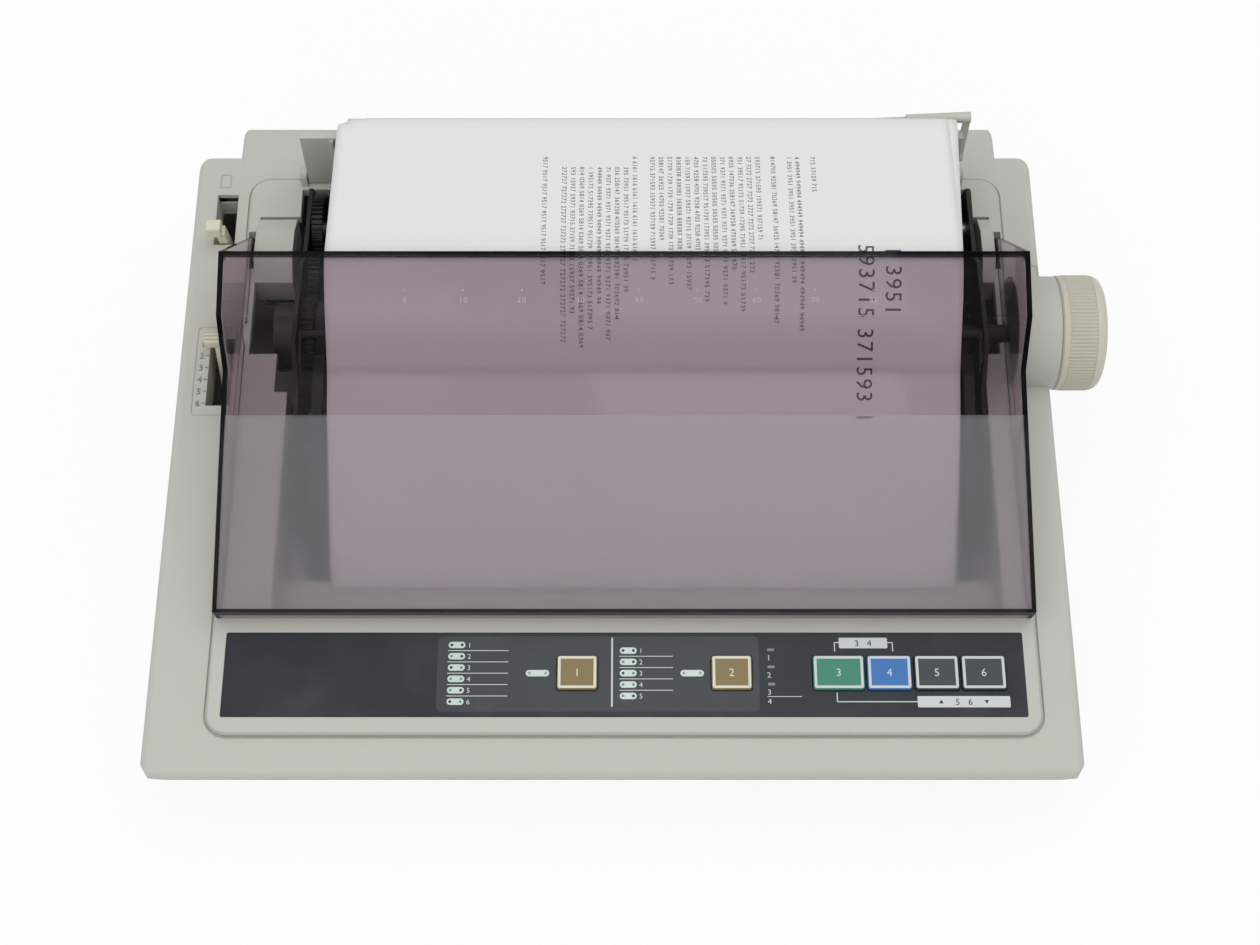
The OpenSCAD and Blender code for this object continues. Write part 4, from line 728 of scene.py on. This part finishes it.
@dataclass
class PanelPrint:
    """What is printed on the control panel: rules, frames, signs and plain numbers."""

    ground: Ground
    right: float
    tables: Sequence[Table] = (Table(247.45, 25.8, 243.8, 6, 54.6),
                               Table(173.65, 22.7, 170.0, 5, 54.6 - 2.54))
    dot_pairs: Sequence[tuple[int, int]] = ((0, 0), (1, 0), (0, 1), (1, 1), (1, 0), (0, 1))
    grey_pairs: tuple[float, float] = (208.9, 142.6)
    grey_half: float = 3.5
    number_in: float = 8.3
    number_h: float = 2.3
    rule_w: float = 0.32
    bracket_w: float = 0.45
    lamp_rows: tuple[float, float, float] = (48.9, 41.2, 33.5)
    lamp_x: float = 110.5
    lamp_h: float = 2.5
    sign_h: float = 2.9
    key_y: float = 41.9
    row_pitch: float = 5.08
    dot_out: float = 2.2
    dot_r: float = 0.62
    ink_low: float = 0.01
    ink_t: float = 0.05
    lens_up: float = 0.13

    def table_rules(self) -> Ink:
        """Draws the rules and the numbers of both indicator tables."""
        ink = Ink()
        for table in self.tables:
            x = self.right - table.start
            for row in range(table.rows):
                y = table.top - row * self.row_pitch
                ink.digits(str(row + 1), x + self.number_in, y, self.number_h, spread=1.1)
                if row:
                    under = y + self.row_pitch / 2
                    ink.line(x, under, x + table.length, under, self.rule_w)
        ink.line(self.right - 176.95, 27.4, self.right - 176.95, 57.5, 0.75)
        return ink

    def signs(self) -> Ink:
        """Draws the brackets, the light plates and the lamps' numbers."""
        ink = Ink()
        plate_l, plate_r = self.right - 79.25, self.right - 58.35
        post_l, post_r = self.right - 81.15, self.right - 56.15
        ink.plate(plate_l, 53.1, plate_r, 57.9, 0.6)
        for post, end in ((post_l, plate_l), (post_r, plate_r)):
            ink.line(post, 55.7, end, 55.7, self.bracket_w)
            ink.line(post, 51.9, post, 55.7, self.bracket_w)
        ink.plate(self.right - 46.65, 26.7, self.right - 7.15, 31.7, 0.5)
        ink.line(post_l + 0.3, 29.2, self.right - 46.65, 29.2, self.bracket_w)
        ink.line(post_l + 0.3, 29.2, post_l + 0.3, 33.0, self.bracket_w)
        for number, y in enumerate(self.lamp_rows):
            ink.digits(str(number + 1), self.right - self.lamp_x, y, self.lamp_h)
        ink.line(self.right - 110.4, 31.5, self.right - 96.0, 31.5, 0.3)
        ink.digits("4", self.right - self.lamp_x, 29.4, self.lamp_h)
        return ink

    def dark_signs(self) -> Ink:
        """Draws what stands dark on the light plates."""
        ink = Ink()
        ink.digits("3  4", self.right - 68.8, 55.5, self.sign_h, align="CENTER", spread=1.2)
        ink.digits("5  6", self.right - 26.9, 29.2, self.sign_h, align="CENTER", spread=1.2)
        ink.dot(self.right - 36.6, 29.0, 1.1, 3, 0.0)
        ink.dot(self.right - 17.2, 29.4, 1.1, 3, math.pi)
        return ink

    def dots(self, lit: bool) -> Ink:
        """Draws the dark or the green dots at the ends of the indicator windows."""
        ink = Ink()
        for table in self.tables:
            for row in range(table.rows):
                for side, green in zip((-1, 1), self.dot_pairs[row]):
                    if bool(green) == lit:
                        ink.dot(self.right - table.middle + side * self.dot_out,
                                table.top - row * self.row_pitch, self.dot_r)
        return ink

    def build(self, light: bpy.types.Material, dark: bpy.types.Material, green: bpy.types.Material,
              grey: bpy.types.Material) -> None:
        """Makes the pieces in four inks."""
        deck = self.ground.on_deck
        for name, ink, skin, low in (("table_print", self.table_rules(), light, self.ink_low),
                                     ("sign_print", self.signs(), light, self.ink_low),
                                     ("sign_ink", self.dark_signs(), dark, self.ink_low + self.ink_t),
                                     ("dark_dots", self.dots(False), dark, self.lens_up),
                                     ("green_dots", self.dots(True), green, self.lens_up)):
            ink.lay(name, Body.CASE, deck, low, self.ink_t, skin)
        ink = Ink()
        for middle in self.grey_pairs:
            for side in (-1, 1):
                ink.dot(self.right - middle + side * self.grey_half, self.key_y, self.dot_r)
        ink.lay("grey_dots", Body.CASE, deck, self.lens_up, self.ink_t, grey)


@dataclass
class KeyPrint:
    """The printed frame and the number on the top of each key."""

    ground: Ground
    key_y: float = 41.9
    key_d: float = 15.2
    rise: float = 1.61
    inset: float = 0.45
    corner: float = 0.9
    border: float = 1.15
    number_h: float = 3.6
    ink_t: float = 0.05

    def build(self, cream: bpy.types.Material, pale: bpy.types.Material) -> None:
        """Makes a frame and a number for every key."""
        for number, (node, body) in enumerate(KEYS.items()):
            low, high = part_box(node)
            x0, x1 = self.ground.inside(low[0]), self.ground.inside(high[0])
            y0, y1 = self.key_y - self.key_d / 2, self.key_y + self.key_d / 2
            skin = cream if body in (Body.FONT_KEY, Body.PITCH_KEY) else pale
            ink = Ink()
            ink.ring(x0 + self.inset, y0 + self.inset, x1 - self.inset, y1 - self.inset, self.corner,
                     self.border)
            ink.digits(str(number + 1), (x0 + x1) / 2, self.key_y, self.number_h, align="CENTER")
            piece = ink.lay(node + "_print", body, self.ground.on_deck, self.rise, self.ink_t, skin)


@dataclass
class CaseMarks:
    """Shallow raised marks on the case: the gap lever's scale, its numbers and the sheet sign."""

    ground: Ground
    outlines: Sequence[tuple[float, ...]] = ((-192.6, 165.0, -175.6, 210.5, 2.2, 0.55),
                                             (-188.6, 285.3, -183.4, 292.6, 0.7, 0.45),
                                             (194.0, 230.5, 198.6, 243.0, 0.7, 0.45))
    outline_t: float = 0.3
    numbers: int = 6
    number_x: float = -190.6
    number_h: float = 3.1
    number_t: float = 0.35
    first_y: float = 201.5
    pitch: float = 6.05
    tick: tuple[float, float, float] = (-187.4, -186.6, 0.4)

    def build(self, material: bpy.types.Material, painted_shade_skin: bpy.types.Material) -> None:
        """Makes the outlines in the case's plastic and the numbers darker, as painted shade for the shading of
        their relief.
        """
        place = self.ground.on_rim
        ink = Ink()
        for outline in self.outlines:
            ink.ring(*outline)
        ink.lay("case_marks", Body.CASE, place, -MARK_SINK, self.outline_t, material)
        scale = Ink()
        start, end, width = self.tick
        for number in range(self.numbers):
            y = self.first_y - number * self.pitch
            scale.digits(str(number + 1), self.number_x, y, self.number_h)
            scale.line(start, y, end, y, width)
        # The numbers' darker finish is painted shade for their relief.
        scale.lay("gap_numbers", Body.CASE, place, -MARK_SINK, self.number_t, painted_shade_skin)


@dataclass
class BayPlates:
    """Black plates over the bays, drawn as flanges of the side frames and laid there as painted shade that
    darkens the bays; left and right hold two X places and a front Y.
    """

    ground: Ground
    top: float = 60.0
    thick: float = 1.5
    rear: float = 263.0
    left: tuple[float, float, float] = (-165.5, -143.9, 231.5)
    right: tuple[float, float, float] = (167.9, 176.5, 177.5)
    corner: float = 1.0

    def build(self, material: bpy.types.Material) -> None:
        """Makes the flanges, which darken the bays as painted shade."""
        ink = Ink()
        for start, end, front in (self.left, self.right):
            ink.plate(start, front, end, self.rear, self.corner)
        plates = ink.lay("bay_shade_plates", Body.CASE, self.ground.spot, self.top - self.thick, self.thick,
                         material)


@dataclass
class CoverMarks:
    """Column numbers moulded on the cover's upper panel, every ten characters."""

    ground: Ground
    crease: tuple[float, float] = (178.0, 127.6)
    rear: tuple[float, float] = (205.5, 137.3)
    count: int = 9
    first_x: float = -90.2
    pitch: float = 25.4
    number_run: float = 7.2
    number_h: float = 2.6
    dot_run: float = 11.6
    dot_r: float = 0.4
    mark_t: float = 0.22

    def on_panel(self, x: float, run: float, up: float) -> Vector:
        """A point over the upper panel, at a run behind its crease."""
        dy, dz = self.rear[0] - self.crease[0], self.rear[1] - self.crease[1]
        size = math.hypot(dy, dz)
        return self.ground.spot(x, self.crease[0] + (dy * run - dz * up) / size,
                                self.crease[1] + (dz * run + dy * up) / size)

    def build(self, material: bpy.types.Material) -> None:
        """Makes the marks."""
        ink = Ink()
        for number in range(self.count):
            x = self.first_x + number * self.pitch
            ink.digits(str(number * 10), x, self.number_run, self.number_h, align="CENTER", spread=1.15)
            ink.dot(x, self.dot_run, self.dot_r, 8)
        marks = ink.lay("column_marks", Body.COVER, self.on_panel, -MARK_SINK, self.mark_t, material)


class Bend:
    """A line of Y and Z in millimetres with rounded corners, measured along its length."""

    STEPS = 6

    def __init__(self, points: Sequence[tuple[float, float]], radius: float = 6.0) -> None:
        """Rounds the corners of the points."""
        corners = [Vector(p) for p in points]
        line = [corners[0]]
        for before, here, after in zip(corners, corners[1:], corners[2:]):
            reach_in = min(radius, (here - before).length / 2)
            reach_out = min(radius, (after - here).length / 2)
            start = here.lerp(before, reach_in / (here - before).length)
            end = here.lerp(after, reach_out / (after - here).length)
            for step in range(self.STEPS + 1):
                t = step / self.STEPS
                line.append(start.lerp(here, t).lerp(here.lerp(end, t), t))
        line.append(corners[-1])
        self.line = line
        self.runs = [0.0]
        for first, second in zip(line, line[1:]):
            self.runs.append(self.runs[-1] + (second - first).length)

    @property
    def length(self) -> float:
        """The length of the whole line."""
        return self.runs[-1]

    def at(self, run: float) -> tuple[Vector, Vector]:
        """The point at a length from the start, and the direction square to the line."""
        run = min(max(run, 0.0), self.length)
        step = next(i for i in range(1, len(self.runs)) if self.runs[i] >= run - TINY)
        first, second = self.line[step - 1], self.line[step]
        share = (run - self.runs[step - 1]) / max(self.runs[step] - self.runs[step - 1], TINY)
        way = (second - first).normalized()
        return first.lerp(second, share), Vector((way.y, -way.x))


@dataclass
class LoadedPaper:
    """Two sheets in the printer, curled at one corner, with columns of plain numbers on the upper one."""

    ground: Ground
    left: float
    right: float
    curl_reach: float = 15.0
    curl_drop: float = 5.0
    slip: float = 4.3
    slip_from: float = 84.0
    thick: float = 0.12
    gap: float = 0.25
    grid: tuple[int, int] = (70, 90)
    large_h: float = 7.4
    small_h: float = 2.2
    small_from: float = 22.0
    print_up: float = 0.07
    print_t: float = 0.03
    line: Sequence[tuple[float, float]] = ((287.7, 127.9), (283.0, 131.6), (205.0, 134.0), (192.0, 126.0),
                                           (166.0, 100.2), (148.0, 91.5), (88.0, 42.7))

    def __post_init__(self) -> None:
        """Works out the line that the sheets follow, from their rear end."""
        self.bend = Bend(self.line)

    def on_sheet(self, x: float, run: float, up: float, under: bool = False) -> Vector:
        """A point over the sheet, at a run from its rear end."""
        spot, out = self.bend.at(run)
        if under:
            x += self.slip * max(0.0, 1 - run / self.slip_from)
            up -= self.gap
        near = max(0.0, 1 - (x - self.left + run) / self.curl_reach)
        drop = 0.0 if under else self.curl_drop * near * near
        return self.ground.spot(x, spot.x + out.x * up, spot.y + out.y * up - drop)

    def sheet(self, name: str, under: bool, material: bpy.types.Material) -> bpy.types.Object:
        """Makes one sheet."""
        ink = Ink()
        middle = Matrix.Translation(((self.left + self.right) / 2, self.bend.length / 2, 0))
        size = middle @ Matrix.Diagonal(((self.right - self.left) / 2, self.bend.length / 2, 1, 1))
        across, along = self.grid
        bmesh.ops.create_grid(ink.form, x_segments=across, y_segments=along, size=1.0, matrix=size)
        piece = ink.lay(name, Body.CASE, lambda x, run, up: self.on_sheet(x, run, up, under),
                        -self.thick / 2, self.thick, material)
        for polygon in piece.data.polygons:
            polygon.use_smooth = True
        return piece

    def column(self, ink: Ink, x: float, run: float, count: int, height: float, seed: int) -> None:
        """Writes one turned line of numbers, which starts at a run from the sheet's rear end."""
        words = ""
        for place in range(count):
            value = (seed * 7 + place * (3 + seed % 4)) % 10
            words += " " if (place + seed * 3) % (5 + seed % 3) == 0 and place else str(value)
        ink.digits(words, x, -run, height, turn=-math.pi / 2, spread=1.12)

    def print_lines(self, material: bpy.types.Material) -> None:
        """Makes the printed numbers: two large lines, then a table in small ones."""
        ink = Ink()
        self.column(ink, 122.8, 78.0, 7, self.large_h, 3)
        self.column(ink, 111.0, 77.0, 15, self.large_h, 5)
        rows = [(89.8, 5, 13), (82.8, 5, 56), (79.2, 5, 44), (71.8, 5, 55)]
        rows += [(64.9 - step * 3.94, 5, 30 + (step * 11) % 24) for step in range(13)]
        rows += [(9.8, 5, 38)] + [(5.8 - step * 3.94, 11, 42 + (step * 7) % 18) for step in range(8)]
        rows += [(-30.5, 5, 44)]
        for number, (x, run, count) in enumerate(rows):
            self.column(ink, x, run + self.small_from, count, self.small_h, number + 1)
        piece = ink.lay("paper_print", Body.CASE, lambda x, y, up: self.on_sheet(x, -y, up), self.print_up,
                        self.print_t, material)

    def build(self, material: bpy.types.Material, print_material: bpy.types.Material) -> None:
        """Makes the sheets and the print."""
        upper = self.sheet("upper_sheet", False, material)
        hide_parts("paper_sheet")
        self.sheet("lower_sheet", True, material)
        self.print_lines(print_material)


@dataclass(frozen=True)
class Lamp:
    """A soft lamp: its place and its size in metres and its power in watts."""

    name: str
    place: tuple[float, float, float]
    size: tuple[float, float]
    power: float


@dataclass
class Studio:
    """Plain floor, soft light and the camera at the photograph's angle."""

    eye: tuple[float, float, float] = (-0.0038, -0.4717, 0.8423)
    pitch: float = 30.0
    lens: float = 57.14
    floor_size: float = 12.0
    floor_color: Rgb = (0.9, 0.9, 0.9)
    camera_white: float = 0.9
    target: tuple[float, float, float] = (0.0, 0.0, 0.05)
    sky: float = 0.6
    lamps: Sequence[Lamp] = (Lamp("key", (-0.7, -0.5, 1.6), (1.4, 1.4), 5.0),
                             Lamp("fill", (0.9, 0.4, 1.4), (1.4, 1.4), 3.2),
                             Lamp("ceiling", (0.1, 0.03, 1.5), (1.1, 0.34), 2.8),
                             Lamp("front", (-0.2, -1.5, 0.8), (1.2, 0.5), 2.5))

    def camera(self) -> None:
        """Makes the scene's camera."""
        data = bpy.data.cameras.new("camera")
        data.lens = self.lens
        data.sensor_width = 36.0
        camera = bpy.data.objects.new("camera", data)
        camera.location = self.eye
        camera.rotation_euler = (math.radians(self.pitch), 0, 0)
        bpy.context.collection.objects.link(camera)
        bpy.context.scene.camera = camera

    def light(self) -> None:
        """Adds the lamps, which look at the printer, and the world."""
        for lamp in self.lamps:
            data = bpy.data.lights.new(lamp.name, "AREA")
            data.shape = "RECTANGLE"
            data.size, data.size_y = lamp.size
            data.energy = lamp.power
            piece = bpy.data.objects.new(lamp.name, data)
            piece.location = lamp.place
            way = -Vector(lamp.place) + Vector(self.target)
            piece.rotation_euler = way.to_track_quat("-Z", "Y").to_euler()
            bpy.context.collection.objects.link(piece)
        world = bpy.data.worlds.new("world")
        world.use_nodes = True
        inputs = world.node_tree.nodes["Background"].inputs
        inputs["Color"].default_value = (1, 1, 1, 1)
        inputs["Strength"].default_value = self.sky
        bpy.context.scene.world = world
        bpy.context.scene.view_settings.view_transform = "Standard"

    def floor(self) -> None:
        """Lays the pale floor, which the camera sees as nearly white."""
        form = bmesh.new()
        bmesh.ops.create_grid(form, x_segments=1, y_segments=1, size=self.floor_size / 2)
        mesh = bpy.data.meshes.new("floor")
        form.to_mesh(mesh)
        form.free()
        floor = bpy.data.objects.new("floor", mesh)
        bpy.context.collection.objects.link(floor)
        shade = Shade("floor")
        path = shade.raw("ShaderNodeLightPath")
        seen = Sock(shade, path.outputs["Is Camera Ray"]) + Sock(shade, path.outputs["Is Transmission Ray"])
        plain = shade.node("ShaderNodeBsdfDiffuse", {}, {"Color": self.floor_color})
        white = shade.node("ShaderNodeEmission", {}, {"Color": (1, 1, 1), "Strength": 1.0})
        factor = shade.node("ShaderNodeClamp", {}, {0: seen}) * self.camera_white
        dress(floor, shade.done(shade.node("ShaderNodeMixShader", {}, {0: factor, 1: plain, 2: white})))


@dataclass
class Printer:
    """The whole printer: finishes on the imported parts, then the scene's own pieces."""

    nodes: dict[str, bpy.types.Object]
    cover_rear: float = 205.5
    tint: Rgb = (0.71, 0.63, 0.675)
    haze: Rgb = (0.82, 0.85, 0.86)
    field_middle: tuple[float, float] = (182.95, 41.7)
    field_half: tuple[float, float, float] = (0.069, 0.0169, 0.0)
    lamps_from: float = 115.0
    sheet_margin: float = 0.4

    def __post_init__(self) -> None:
        """Makes the finishes and finds the printer's own coordinates."""
        self.skins = {coat: finish.make() for coat, finish in FINISHES.items()}
        self.ground = Ground.read()
        self.right = self.ground.inside(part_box("control_panel")[1][0])

    def dress_parts(self) -> None:
        """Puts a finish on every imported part."""
        for coat, nodes in PARTS.items():
            for node in nodes:
                dress(self.nodes[node], self.skins[coat])
        low, high = (Vector(corner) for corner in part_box("smoked_cover"))
        rear_y = self.ground.spot(0, self.cover_rear, 0).y
        dress(self.nodes["smoked_cover"],
              Smoked("smoked_plastic", self.tint, self.haze, low, high, rear_y).make())
        across, run = self.field_middle
        middle = self.ground.on_deck(self.right - across, run, 0.0)
        dress(self.nodes["control_panel"],
              Overlay("panel_overlay", srgb(34, 39, 46), srgb(60, 65, 69), middle, Vector(self.field_half),
                      self.ground.slope).make())
        lamps_from = self.ground.spot(self.right - self.lamps_from, 0, 0).x
        dress(self.nodes["indicator_lenses"],
              Lens("lens", srgb(206, 220, 214), srgb(100, 108, 112), lamps_from).make())

    def add_pieces(self) -> None:
        """Makes the print, the marks, the flanges that darken the bays as painted shade, and the paper."""
        skins, ground = self.skins, self.ground
        PanelPrint(ground, self.right).build(skins[Coat.PALE_INK], skins[Coat.DARK_INK], skins[Coat.GREEN_INK],
                                             skins[Coat.GREY_INK])
        KeyPrint(ground).build(skins[Coat.CREAM_INK], skins[Coat.PALE_INK])
        CaseMarks(ground).build(skins[Coat.CASE], skins[Coat.SHADE])
        # Black plates laid over the bays as painted shade.
        BayPlates(ground).build(skins[Coat.FRAME])
        CoverMarks(ground).build(skins[Coat.COVER_MARK])
        low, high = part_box("paper_sheet")
        paper = LoadedPaper(ground, ground.inside(low[0]), ground.inside(high[0]) - self.sheet_margin)
        paper.build(skins[Coat.PAPER], skins[Coat.PRINT_INK])


def main() -> None:
    """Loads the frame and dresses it."""
    logging.basicConfig(level=logging.INFO, format="%(message)s")
    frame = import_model()
    studio = Studio()
    studio.camera()
    studio.light()
    studio.floor()
    printer = Printer(frame["nodes"])
    printer.dress_parts()
    printer.add_pieces()


if __name__ == "__main__":
    main()
